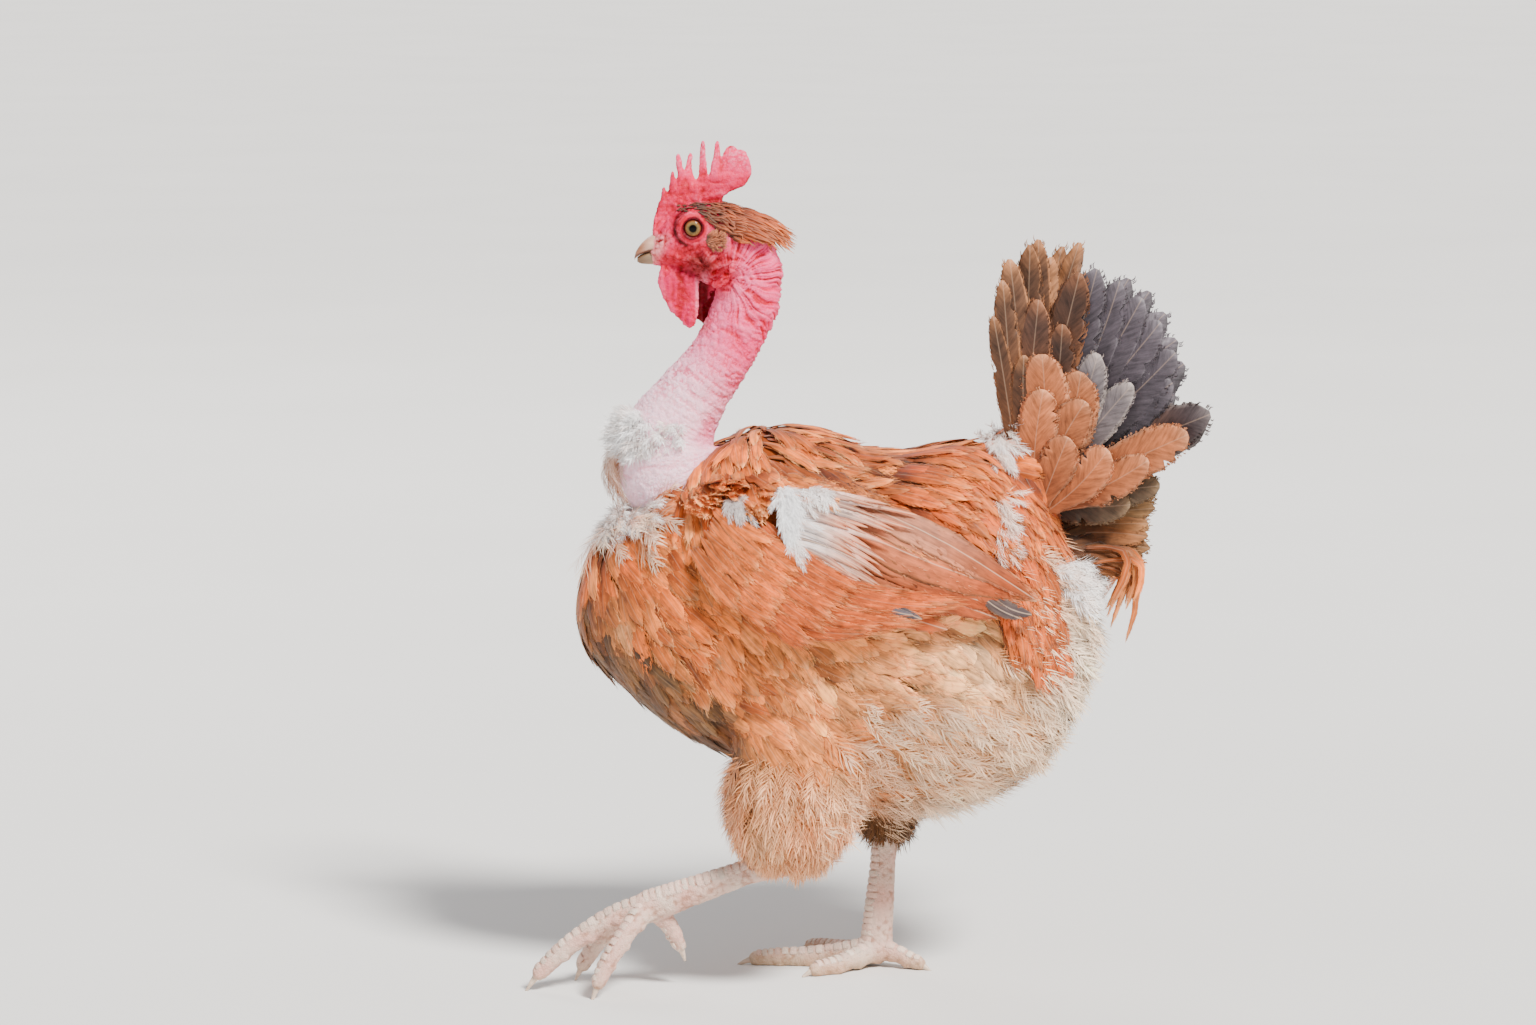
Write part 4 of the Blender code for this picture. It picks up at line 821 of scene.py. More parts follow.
def head_relief(points):
    """Wrinkles, papillae and follicles of the bare skin: how far each point rises, in mm."""
    x, y, z = points.T
    place, ahead = along_neck(points)
    fx, fz = NAPE_FOCUS
    far = np.hypot(x - fx, z - fz)
    angle = np.arctan2(z - fz, x - fx)
    fan = smoothstep(1, 5, far) * smoothstep(44, 26, far) * smoothstep(-76, -66, x + 0.2 * (z - fz))
    fan *= smoothstep(388, 376, z)
    bent = angle + noise(points, 9.0, 20) * 0.10
    ray = np.stack([bent * 15.0, far * 0.06, y * 0.04], axis=-1)
    relief = fan * (folds(ray, 1.0, 21) - 0.62) * np.minimum(2.1, 1.4 + far * 0.03)
    relief += fan * (folds(ray * (2.1, 1, 1), 1.0, 37) - 0.62) * 0.8
    jowl = smoothstep(20, 10, far) * smoothstep(-88, -78, x)
    jowl *= smoothstep(372, 366, z) * smoothstep(343, 348, z)
    knot = np.stack([far * 0.55 + noise(points, 7.0, 32) * 1.6, angle * 2.2, y * 0.05], axis=-1)
    relief += jowl * (folds(knot, 1.0, 33) - 0.6) * 1.1
    tube = smoothstep(352, 338, z)
    across = np.stack([place / 1.5 + noise(points, 7.0, 19) * 0.9, y * 0.09, ahead * 0.07], axis=-1)
    relief += tube * (folds(across, 1.0, 22) - 0.62) * (0.55 + 0.5 * smoothstep(4, -10, ahead))
    bare = smoothstep(-45, -56, x) * smoothstep(372, 362, z)
    relief -= np.maximum(tube, 0.6 * fan * bare) * creases(points * (1.0, 0.8, 1.1), 2.3, 23) * 0.30
    follicle = grains(points, 5.2, 24)
    relief += smoothstep(150, 120, place) * tube * np.clip(follicle - 0.72, 0, 1) * 1.8
    face = smoothstep(-60, -70, x) * smoothstep(346, 354, z) * smoothstep(400, 392, z)
    relief += face * ((grains(points, 2.0, 25) - 0.45) * 0.45 + (folds(points, 4.0, 26) - 0.6) * 0.6)
    relief -= face * creases(points, 2.8, 31) * 0.25
    comb = smoothstep(388, 396, z)
    relief += comb * ((grains(points, 1.5, 27) - 0.45) * 0.35 + noise(points, 4.5, 28) * 0.4)
    hang = hanging(points)
    relief += hang * ((grains(points * (1, 1, 0.6), 1.9, 29) - 0.45) * 0.3
                      + (folds(points * (1, 1, 0.25), 3.2, 30) - 0.6) * 0.7)
    return relief


def displaced(obj, relief):
    move_points(obj, points_of(obj) + normals_of(obj) * relief[:, None])


def head_skin(material):
    forms = [body_form(HEAD_ROWS, 60, 72)]
    rows = np.array(NECK_ROWS, float)
    forms.append(limb_form([(x, 0, z) for x, z in rows[:, :2]], rows[:, 2], rows[:, 3], 90, 64))
    forms += [comb_form(), wattle_form("left"), wattle_form("right"), *face_folds()]
    skin = remeshed("skin_head", forms, HEAD_VOXEL, 4, material)
    points = points_of(skin)
    relief = head_relief(points)
    far = np.hypot(points[:, 0] - EYE_CENTRE[0], points[:, 2] - EYE_CENTRE[2])
    relief *= 0.25 + 0.75 * smoothstep(5.5, 8.0, far)
    relief -= 1.3 * nostril_of(points)
    side = np.abs(points[:, 1])
    bowl = (EYE_RADIUS + 0.1) ** 2 - far**2 - (side - EYE_CENTRE[1]) ** 2
    inside = (bowl > 0) & (far < 5.0) & (side > 6)
    displaced(skin, relief)
    points = points_of(skin)
    points[inside, 1] = np.sign(points[inside, 1]) * 10.5
    move_points(skin, points)
    paint(skin.data, flesh_colour(points, relief))
    return skin


def nostril_of(points):
    """1 in the slit of a nostril, which slopes down towards the bill's tip."""
    x, y, z = points.T
    nx, _, nz = NOSTRIL
    along = (x - nx) * 0.94 + (z - nz) * 0.34
    beside = -(x - nx) * 0.34 + (z - nz) * 0.94
    return smoothstep(1.0, 0.35, (along / 2.3) ** 2 + (beside / 0.8) ** 2) * (np.abs(y) > 2)


def core_forms():
    """The body, thighs, wings' bones and rump under the feathers."""
    forms = [body_form(TORSO_ROWS, 60, 64, inset=COAT_DEPTH)]
    for side, sign in SIDES.items():
        rows = THIGH_ROWS[side]
        places = [(x, sign * y, z + 2.0) for x, y, z, _, _ in rows]
        forms.append(limb_form(places, [max(2.0, r[3] - 6) for r in rows], [max(2.0, r[4] - 6) for r in rows],
                               40, 40))
        centre = np.mean(WING_CORE, axis=0)
        rings = []
        for share, out in ((0.96, -26.0), (0.96, -7.0), (0.8, -4.5), (0.5, -4.0)):
            ring = centre + (np.array(WING_CORE, float) - centre) * share
            y = wing_surface(ring[:, 0], ring[:, 1]) + out - 0.1 * wing_below(ring[:, 0], ring[:, 1])
            rings.append(np.stack([ring[:, 0], sign * y, ring[:, 1]], axis=-1))
        forms.append(loft(rings))
    rows = np.array(RUMP_ROWS, float)
    forms.append(limb_form([(x, 0, z) for x, z in rows[:, :2]], rows[:, 2] - 3, rows[:, 3] - 3, 20, 40))
    return forms


def leg_joints(side):
    """Where the hock and the ball of the foot are."""
    mirror = np.array((1, SIDES[side], 1))
    return np.array(HOCK[side]) * mirror, np.array(BALL[side]) * mirror


def toe_line(side, toe):
    """The middle line of a toe, from the ball of the foot to where the claw begins."""
    bx, by, _ = BALL[side]
    return [np.array((bx + x, SIDES[side] * (by + y), z)) for x, y, z in TOES[side][toe]]


def leg_forms(side):
    hock, ball = leg_joints(side)
    up = unit(hock - ball)
    places = [hock + up * 3 + (0, 0, 9), hock + up * 3 + (0, 0, 3)]
    places += [hock + (ball - hock) * t for t in (0.06, 0.35, 0.7, 1.0)]
    forms = [limb_form(places, (6.0, 7.6, *SHANK_DEPTH), (5.5, 6.0, *SHANK_WIDTH), 70, 36),
             ball_form(ball, (8.0, 7.6, 8.0))]
    for toe, radii in TOE_RADII.items():
        line = toe_line(side, toe)
        forms.append(limb_form(line, radii, [r * 0.92 for r in radii], 50, 28))
        forms.append(ball_form(line[-1], (radii[-1] * 0.95,) * 3, 20, 12))
        for (x, y, z), r in list(zip(line, radii))[1:-1]:
            forms.append(ball_form((x, y, z - r * 0.25), (r * 1.1, r, r * 0.95), 20, 12))
    return forms


def leg_skin(side, material):
    skin = remeshed("skin_leg_" + side, leg_forms(side), LEG_VOXEL, 5, material)
    points = points_of(skin)
    relief = (grains(points, 2.4, 41) - 0.5) * 0.35 + noise(points, 6.0, 42) * 0.2
    relief += (folds(points * (1, 1, 1.6), 3.4, 43) - 0.6) * 0.25
    displaced(skin, relief)
    points = points_of(skin)
    points[:, 2] = np.maximum(points[:, 2], 0.0)
    move_points(skin, points)
    tint = mix(LEG_IVORY, LEG_PINK, 0.5 + 0.5 * noise(points, 9.0, 44))
    # Painted shade: the creases of the leg skin are darkened.
    tint = mix(tint, (0.5, 0.3, 0.22), np.clip(-relief * 2.2, 0, 0.6))
    tint = mix(tint, (0.56, 0.44, 0.28), smoothstep(12, 0, points[:, 2]) * 0.5)
    paint(skin.data, tint)
    return skin


def body_skin(material):
    skin = remeshed("skin_body", core_forms(), BODY_VOXEL, 3, material)
    # Painted shade: the skin under the coat takes the coat's colours darkened to 0.55, where it shows between
    # the feathers.
    paint(skin.data, plumage_colour(points_of(skin)) * 0.55)
    return skin


# ---------------------------------------------------------------- wing and tail sheets

def wing_surface(x, z):
    """How far out the folded wing's outer face lies at one place, in mm."""
    ahead, behind = np.minimum(0.0, x + 15), np.maximum(0.0, x + 15)
    over, under = np.maximum(0.0, z - 195), np.minimum(0.0, z - 195)
    return (80 - 12 * (ahead / 60) ** 2 - 20 * (behind / 99) ** 2 - 17 * (over / 60) ** 2
            - 4 * (under / 20) ** 2)


def wing_below(x, z):
    """How far under the wing's top edge a place lies."""
    (ax, az), (bx, bz) = (-46.0, 257.0), (85.0, 194.0)
    return np.maximum(0.0, ((bx - ax) * (az - z) - (x - ax) * (az - bz)) / math.hypot(bx - ax, bz - az))


def tail_sheet(x, z):
    """How far out each half of the tented tail lies at one place, in mm."""
    beyond = (x - TAIL_ROOT[0]) * 0.991 - (z - TAIL_ROOT[1]) * 0.134
    return 10.5 + 0.33 * np.maximum(0.0, beyond)


# ---------------------------------------------------------------- feathers

def rounded(s, widest, root):
    """A width that grows from the root's share to 1 at the widest place, and closes in a round tip."""
    grow = root + (1 - root) * smoothstep(0, widest * 0.85, s)
    close = np.sqrt(np.clip(1 - (np.maximum(s - widest, 0) / (1.003 - widest)) ** 2.2, 0.003, 1))
    return grow * close


PROFILES = {
    # the widest place, the width at the root, and the power that makes the tip more pointed
    "round": (0.58, 0.30, 1.0), "broad": (0.66, 0.42, 1.0), "blade": (0.45, 0.50, 1.3),
    "soft": (0.60, 0.45, 1.15), "hackle": (0.35, 0.50, 1.6),
}


def profile(kind, s):
    """A vane's half width as a share of its widest, from root to tip."""
    widest, root, power = PROFILES[kind]
    return rounded(s, widest, root) ** power


def vane_template(kind, rows, fringe, seed, aspect, jag=0.08, splits=0, loose=1.0):
    """A closed vane with frayed barbs: shares of length and half width, height, share out.

    The fringe's points carry a share out below 0, which marks them as loose.
    """
    chance = np.random.default_rng(seed)
    s = np.linspace(0, 1, rows)
    width = profile(kind, s)
    saws = chance.uniform(-1.4, 0.7, (2, rows)) * jag
    saws[:, :2] = 0
    for _ in range(splits):
        saws[chance.integers(2), chance.integers(rows // 3, rows - 2)] = -chance.uniform(0.3, 0.6)
    points = []
    for i in range(rows):
        for t, face in VANE_RING:
            saw = saws[int(t > 0), i] * abs(t) ** 3
            lead = 0.10 * abs(t) * (1 - s[i]) + 0.5 * saw / aspect * (s[i] < 0.97)
            points.append((s[i] + lead, t * width[i] * (1 + saw), face * (1 - abs(t)) ** 0.5, abs(t)))
    points, faces = np.array(points), ring_faces(rows, len(VANE_RING))
    base = chance.uniform(0.3, 1.0, fringe) ** 0.7
    side = np.where(chance.random(fringe) < 0.5, -1, 1)
    edge = profile(kind, base) * chance.uniform(0.78, 1.0, fringe)
    turn = chance.uniform(0.2, 0.7, fringe) * (1.2 - base)
    reach = chance.uniform(0.2, 0.56, fringe) * loose
    barbs = strands(base, side * edge, reach * np.cos(turn) / aspect, side * reach * np.sin(turn),
                    chance.uniform(-0.4, 1.2, fringe), 0.065, aspect)
    return append(points, faces, barbs)


VANE_RING = [(-1, 1), (-0.78, 1), (-0.3, 1), (0.3, 1), (0.78, 1), (1, 1), (0, -1)]


def down_template(barbs, seed, aspect=2.4, loose=1.0):
    """A soft feather whose barbs stand apart on both sides of a thin shaft."""
    chance = np.random.default_rng(seed)
    base = np.linspace(0.02, 0.97, barbs) + chance.uniform(-0.02, 0.02, barbs)
    base = np.concatenate([base, base])
    side = np.repeat([-1.0, 1.0], barbs)
    turn = 0.85 - 0.55 * base + chance.uniform(-0.22, 0.22, 2 * barbs) * loose
    reach = (0.55 + 0.6 * np.sin(np.pi * np.clip(base, 0, 1) ** 0.8)) * chance.uniform(0.75, 1.2, 2 * barbs)
    points, faces = strands(base, side * 0.02, reach * np.cos(turn) / aspect, side * reach * np.sin(turn),
                            chance.uniform(-1, 1, 2 * barbs) * loose, 0.06, aspect)
    shaft = strands(np.zeros(1), np.zeros(1), np.ones(1), np.zeros(1), np.zeros(1), 0.05, aspect)
    return append(points, faces, shaft)


def strands(s, t, ds, dt, rise, width, aspect):
    """Thin barbs, each two joined pieces that taper to a point."""
    count = len(s)
    along = unit(np.stack([ds * aspect, dt], axis=-1))
    beside = np.stack([-along[:, 1] / aspect, along[:, 0]], axis=-1) * width
    bow = beside * np.sign(dt + 1e-6)[:, None] * 0.9
    start = np.stack([s, t], axis=-1)
    middle = start + 0.55 * np.stack([ds, dt], axis=-1) + bow
    tip = start + np.stack([ds, dt], axis=-1)
    points = np.stack([start - beside * 0.5, start + beside * 0.5, middle + beside * 0.42,
                       middle - beside * 0.42, tip], axis=1)
    height = np.stack([0 * rise, 0 * rise, rise * 0.6, rise * 0.6, rise * 1.3], axis=1)
    out = -np.clip(np.abs(points[..., 1:2]), 0.01, 1)
    points = np.concatenate([points, height[..., None], out], axis=-1).reshape(-1, 4)
    first = (np.arange(count) * 5)[:, None]
    return points, [first + np.array([0, 1, 2, 3]), first + np.array([3, 2, 4])]


def append(points, faces, more):
    start = len(points)
    return np.vstack([points, more[0]]), [*faces, *(f + start for f in more[1])]


def ring_faces(rows, around):
    """Faces of a closed tube through rings, with a flat cap at each end."""
    i = np.arange(around)
    j = (i + 1) % around
    start = (np.arange(rows - 1) * around)[:, None]
    quads = np.stack([start + i, start + around + i, start + around + j, start + j], axis=-1).reshape(-1, 4)
    return [quads, np.stack([i, i[::-1] + (rows - 1) * around])]


def body_home(place):
    """The coat's place on an unwrap of the body: round its long axis, and along it."""
    x, y, z = place
    return 0.5 + 0.48 * math.atan2(y, z - 178) / math.pi, 0.02 + 0.96 * (x + 170) / 345


def head_home(place):
    x, y, z = place
    return 0.5 + 0.48 * math.atan2(y, x + 90) / math.pi, 0.02 + 0.96 * (z - 230) / 200


class Feathers:
    """Feathers laid along surfaces, gathered for one joined mesh."""

    def __init__(self):
        self.lines, self.acrosses, self.ups = [], [], []
        self.sizes, self.colours, self.homes = [], [], []

    def add(self, path, length, half, rise, colours, home, cup=0.15, rim=0.3):
        """path is points, cross directions and normals; rise the height at root, middle and tip;
        colours those of the root, the tip and the rim; rim how strongly the last one shows."""
        line, across, up = path
        self.lines.append(line)
        self.acrosses.append(across)
        self.ups.append(up)
        self.sizes.append((length, half, *rise, cup, rim))
        self.colours.append((colours + (PALE_RIM,))[:3])
        self.homes.append(home)

    def lay(self, tree, start, way, length, half, rise, colours, **look):
        """Adds a feather along the body's surface, from its root along a way."""
        self.add(walk(tree, start, way, length), length, half, rise, colours, body_home(start), **look)

    def hang(self, root, tip, bow, facing, half, colours, home=body_home, length=None, **look):
        """Adds a feather in the open air, as long as it is from root to tip if not said otherwise."""
        length = length or np.linalg.norm(tip - root)
        self.add(free_path(root, tip, bow, facing), length, half, (0, 0, 0), colours, home(root), **look)

    def part(self, first, last):
        made = Feathers()
        for key, value in vars(self).items():
            setattr(made, key, value[first:last])
        return made

    def build(self, name, templates, material, thick=0.2, puff=1.0, seed=0, deep=0.5):
        lines, acrosses, ups = (np.array(a, float) for a in (self.lines, self.acrosses, self.ups))
        sizes, homes, colours = (np.array(a, float) for a in (self.sizes, self.homes, self.colours))
        chance = np.random.default_rng(seed)
        choice = chance.integers(0, len(templates), len(lines))
        points, faces, tint, vane, home, start = [], [], [], [], [], 0
        for k, (shape, groups) in enumerate(templates):
            pick = np.flatnonzero(choice == k)
            if not len(pick):
                continue
            bent = self.bend(shape, lines[pick], acrosses[pick], ups[pick], sizes[pick], thick, puff)
            points.append(bent.reshape(-1, 3))
            offsets = start + np.arange(len(pick)) * len(shape)
            faces += [(offsets[:, None, None] + g[None]).reshape(-1, g.shape[1]) for g in groups]
            start += len(pick) * len(shape)
            tint.append(self.colour(shape, colours[pick], sizes[pick], chance, deep).reshape(-1, 3))
            along = shape[None, :, 0] * sizes[pick, :1] / VANE_MAP[1] + chance.uniform(0, 40, (len(pick), 1))
            out = shape[None, :, 1] * sizes[pick, 1:2] / VANE_MAP[0]
            vane.append(np.stack([out, along], axis=-1).reshape(-1, 2))
            patch = np.stack([shape[:, 1], shape[:, 0] * 2 - 1], axis=-1) * 0.0015
            home.append((homes[pick][:, None] + patch[None]).reshape(-1, 2))
        return put(name, np.vstack(points), faces, np.vstack(tint),
                   {"OFBake": np.vstack(home), "Vane": np.vstack(vane)}, [material])

    @staticmethod
    def bend(shape, lines, acrosses, ups, sizes, thick, puff):
        """Lays the template's points along each feather's path."""
        s, t, h, out = shape.T
        last = lines.shape[1] - 1
        place = np.clip(s, 0, 1) * last
        i = np.minimum(place.astype(int), last - 1)
        f = (place - i)[None, :, None]
        at = lines[:, i] * (1 - f) + lines[:, i + 1] * f
        across = unit(acrosses[:, i] * (1 - f) + acrosses[:, i + 1] * f)
        up = unit(ups[:, i] * (1 - f) + ups[:, i + 1] * f)
        length, half, root, middle, tip, cup = (sizes[:, k, None, None] for k in range(6))
        beyond = np.clip(s - 1, 0, 1)[None, :, None]
        at = at + unit(lines[:, -1] - lines[:, -2])[:, None] * beyond * length
        sc = np.clip(s, 0, 1.15)[None, :, None]
        rise = root * (1 - sc) * (1 - 2 * sc) + 4 * middle * sc * (1 - sc) + tip * sc * (2 * sc - 1)
        side = t[None, :, None]
        drift = np.sin(np.arange(len(lines)) * 12.9898 + 4.1)[:, None, None] * 0.09 * length
        at = at + across * drift * sc**2
        height = (h * np.where(out < 0, puff, thick))[None, :, None]
        return at + across * side * half + up * (rise - cup * side**2 * half * 0.5 + height)

    @staticmethod
    def colour(shape, colours, sizes, chance, deep):
        """From the root's colour to the tip's, with the rim's at the edges, each feather its own shade, and
        painted shade towards the root.
        """
        s, out = shape[:, 0], np.abs(shape[:, 3])
        tint = mix(colours[:, None, 0], colours[:, None, 1], smoothstep(0.35, 1.0, s)[None])
        rim = np.maximum(smoothstep(0.72, 1.05, out), smoothstep(0.86, 1.06, s))[None] * sizes[:, 6, None]
        tint = mix(tint, colours[:, None, 2], np.clip(rim, 0, 1))
        # Painted shade: deep sets how dark the root is, where the feathers above it would shade it.
        base = (deep + (1 - deep) * smoothstep(0.3, 0.8, s))[None]
        each = 1 + (chance.random((len(colours), 1)) - 0.55) * (1.3 - deep) * 0.62
        return np.clip(tint * (base * each)[..., None], 0, 1)


VANE_MAP = (10.0, 25.0)  # how many mm the Vane map's units are, across and along


def surface_tree(obj):
    bm = bmesh.new()
    bm.from_mesh(obj.data)
    tree = BVHTree.FromBMesh(bm)
    bm.free()
    return tree


def nearest(tree, point):
    at, normal, _, _ = tree.find_nearest(Vector(point) * MM)
    return np.array(at) / MM, np.array(normal)


def walk(tree, start, heading, length, stations=6):
    """Points, cross directions and normals along a surface, from start along a heading."""
    at, normal = nearest(tree, start)
    heading = unit(np.array(heading, float))
    line, acrosses, ups = [], [], []
    step = length / (stations - 1)
    for k in range(stations):
        flat = unit(heading - normal * heading.dot(normal))
        line.append(at)
        acrosses.append(np.cross(flat, normal))
        ups.append(normal)
        if k < stations - 1:
            at, normal = nearest(tree, at + flat * step)
    return np.array(line), np.array(acrosses), np.array(ups)


def on_sheet(sheet, side, root, tip, stations=8, bend=0.0):
    """The same along a wing or tail, whose face is y = sheet(x, z)."""
    sign = SIDES[side]
    root, tip = np.array(root, float), np.array(tip, float)
    share = np.linspace(0, 1, stations)
    along = tip - root
    across = np.array((-along[1], along[0])) / np.linalg.norm(along)
    flat = root + along * share[:, None] + across * (bend * np.sin(np.pi * share))[:, None]
    x, z = flat.T
    line = np.stack([x, sign * sheet(x, z), z], axis=-1)
    slope_x = (sheet(x + 1, z) - sheet(x - 1, z)) / 2
    slope_z = (sheet(x, z + 1) - sheet(x, z - 1)) / 2
    ups = unit(np.stack([-slope_x, sign * np.ones(stations), -slope_z], axis=-1))
    acrosses = unit(np.cross(unit(np.gradient(line, axis=0)), ups))
    return line, acrosses, ups


def free_path(root, tip, bow, up, stations=6):
    """The same in the open air: from root to tip, bowed by a vector at the middle."""
    share = np.linspace(0, 1, stations)[:, None]
    root, tip = np.array(root, float), np.array(tip, float)
    line = root + (tip - root) * share + np.array(bow, float) * np.sin(np.pi * share)
    ahead = unit(np.gradient(line, axis=0))
    across = unit(np.cross(ahead, up))
    return line, across, np.cross(across, ahead)


def scatter(obj, spacing, keep, seed, tries=14):
    """Points spread over a mesh at about a given spacing, where keep says so."""
    mesh = obj.data
    mesh.calc_loop_triangles()
    tris = np.zeros(len(mesh.loop_triangles) * 3, np.int32)
    mesh.loop_triangles.foreach_get("vertices", tris)
    corners = points_of(obj)[tris.reshape(-1, 3)]
    normals = np.cross(corners[:, 1] - corners[:, 0], corners[:, 2] - corners[:, 0])
    area = np.linalg.norm(normals, axis=1)
    chance = np.random.default_rng(seed)
    count = int(area.sum() / 2 / spacing**2 * tries)
    pick = chance.choice(len(area), count, p=area / area.sum())
    a, b = chance.random((2, count, 1))
    flip = a + b > 1
    a, b = np.where(flip, 1 - a, a), np.where(flip, 1 - b, b)
    c = corners[pick]
    spots = c[:, 0] + (c[:, 1] - c[:, 0]) * a + (c[:, 2] - c[:, 0]) * b
    spots = spots[keep(spots)]
    taken, kept = {}, []
    for i, cell in enumerate(map(tuple, np.floor(spots / spacing).astype(int))):
        near = (taken.get((cell[0] + u, cell[1] + v, cell[2] + w), ())
                for u in (-1, 0, 1) for v in (-1, 0, 1) for w in (-1, 0, 1))
        if all(((spots[i] - spots[j]) ** 2).sum() > spacing**2 for group in near for j in group):
            taken.setdefault(cell, []).append(i)
            kept.append(i)
    return spots[kept]


def heading_at(points):
    """The lie of the coat over the body."""
    x, y, z = points.T
    side = np.sign(y)
    flow = mix((0.12, 0, -1.0), (0.85, 0, -0.6), smoothstep(-140, -98, x))
    shoulder = smoothstep(214, 232, z) * smoothstep(-104, -92, x) * smoothstep(-34, -56, x)
    flow = mix(flow, (0.4, 0, -0.95), shoulder)
    flow = mix(flow, (1.0, 0, -0.25), smoothstep(222, 250, z) * smoothstep(-50, -24, x))
    flow = mix(flow, (0.55, 0, -0.85), smoothstep(66, 108, x) * smoothstep(250, 225, z))
    flow = mix(flow, (1.0, 0, 0.1), smoothstep(125, 100, z) * smoothstep(-60, 0, x))
    flow[:, 1] += side * 0.22 * smoothstep(235, 262, z) + side * 0.1 * smoothstep(-110, -135, x)
    wander = np.stack([noise(points, 30.0, 51), noise(points, 30.0, 52), noise(points, 30.0, 53)], axis=-1)
    return unit(flow + wander * 0.32)


def inside_wing(points):
    """How deep inside the folded wing's outline each place lies, in mm; below 0 outside it."""
    x, y, z = points.T
    depth = np.full(len(points), 99.0)
    for (ax, az), (bx, bz) in zip(WING_OUTLINE, WING_OUTLINE[1:] + WING_OUTLINE[:1]):
        inward = (bz - az) * (x - ax) - (bx - ax) * (z - az)
        depth = np.minimum(depth, inward / math.hypot(bx - ax, bz - az))
    return np.where(np.abs(y) > 30, depth, -99.0)


# ---------------------------------------------------------------- coat

def clear_of_wing(p):
    """Clear of the wing, but for feathers of breast and cape that lap over its front."""
    lapped = (inside_wing(p + heading_at(p) * 20) > 9) & (p[:, 0] > -66)
    inner = (np.abs(p[:, 1]) < wing_surface(p[:, 0], p[:, 2]) - 9) & (p[:, 0] > -40)
    return (((inside_wing(p) < 3) & ~lapped) | inner) & bare_of(p)


def contour_feathers(body, tree, chance):
    """Breast, cape, back and flanks; the cape's are narrower, and more of them stand up."""
    coat = Feathers()
    spots = scatter(body, CONTOUR_GAP,
                    lambda p: clear_of_wing(p) & (chance.random(len(p)) > softness(p)), 62)
    swells = noise(spots, 26.0, 54) * 2.0
    rows = zip(spots, heading_at(spots), plumage_colour(spots), swells, cape_share(spots))
    for p, flow, tint, swell, cape in rows:
        size = chance.uniform(0.8, 1.2)
        ruffled = chance.random() < 0.04 + 0.5 * cape
        lift = 4.0 + swell + chance.uniform(-1.0, 1.0) + ruffled * chance.uniform(1.0, 2.5 + 1.5 * cape)
        length = CONTOUR_LENGTH * size
        path = walk(tree, p - flow * 14, flow + chance.normal(0, 0.16 + 0.08 * cape, 3), length)
        shade = varied(tint, chance)
        # Dark tints, such as the painted shade low on the breast, get fewer pale tips and weaker rims.
        bright = smoothstep(0.35, 0.6, tint[0])
        tip = mix(shade, mix(tint, APRICOT, 0.4 * bright * (1 - 0.6 * cape)), chance.uniform(0, 0.6))
        coat.add(path, length, 5.0 * size * (1 - 0.3 * cape), (0.2, 3.4, lift), (shade, tip),
                 body_home(p), cup=0.2 + 0.3 * ruffled,
                 rim=(chance.uniform(0.0, 0.7) + 0.15 * cape) * (0.2 + 0.8 * bright))
    return coat


def belly_down(body, tree, chance):
    fluff = Feathers()
    spots = scatter(body, DOWN_GAP,
                    lambda p: clear_of_wing(p) & (chance.random(len(p)) < softness(p)), 63)
    for p, flow, tint in zip(spots, heading_at(spots), plumage_colour(spots)):
        size = chance.uniform(0.8, 1.3)
        length = DOWN_LENGTH * size
        path = walk(tree, p - flow * 5, flow + chance.normal(0, 0.2, 3), length)
        lift = 7.0 + 3.0 * noise(p[None], 14.0, 64)[0] + chance.uniform(-1.0, 1.5)
        shade = mix(tint, ORANGE if chance.random() < 0.25 else CREAM, chance.uniform(0, 0.35))
        fluff.add(path, length, 9.0 * size, (0.5, 4.5, lift), (shade, mix(shade, PALE, 0.7)),
                  body_home(p), cup=0.3, rim=0.1)
    return fluff


def breast_down(body, tree, chance):
    fluff = Feathers()
    spots = scatter(body, BREAST_GAP,
                    lambda p: bare_of(p) & (chance.random(len(p)) < 1.6 * white_breast(p)), 65)
    for p, flow in zip(spots, heading_at(spots)):
        length = chance.uniform(*LENGTHS["breast down"])
        path = walk(tree, p - flow * 3, flow + chance.normal(0, 0.25, 3), length)
        tint = mix(WHITE, (0.94, 0.74, 0.64), chance.uniform(0, 0.5))
        fluff.add(path, length, 4.2, (1.0, 4.0, 4.0 + chance.uniform(0, 2)), (tint, mix(tint, WHITE, 0.8)),
                  body_home(p), cup=0.2, rim=0.0)
    return fluff


def body_coat(body, tree, materials):
    """Contour feathers of breast, cape, back and flanks, and soft ones on belly, rear and breast."""
    chance = np.random.default_rng(61)
    vanes = [vane_template("soft", 9, 48, 100 + k, 7.0, 0.16, k % 2, 1.7) for k in range(8)]
    downs = [down_template(26, 200 + k) for k in range(6)]
    coat, down = materials["coat"], materials["down"]
    return [*split_build(contour_feathers(body, tree, chance), "body_feathers", vanes, coat, deep=0.6),
            *split_build(belly_down(body, tree, chance), "body_down", downs, down, 5.0, 0.8),
            *split_build(breast_down(body, tree, chance), "breast_down", downs, down, 3.0, 1.0)]


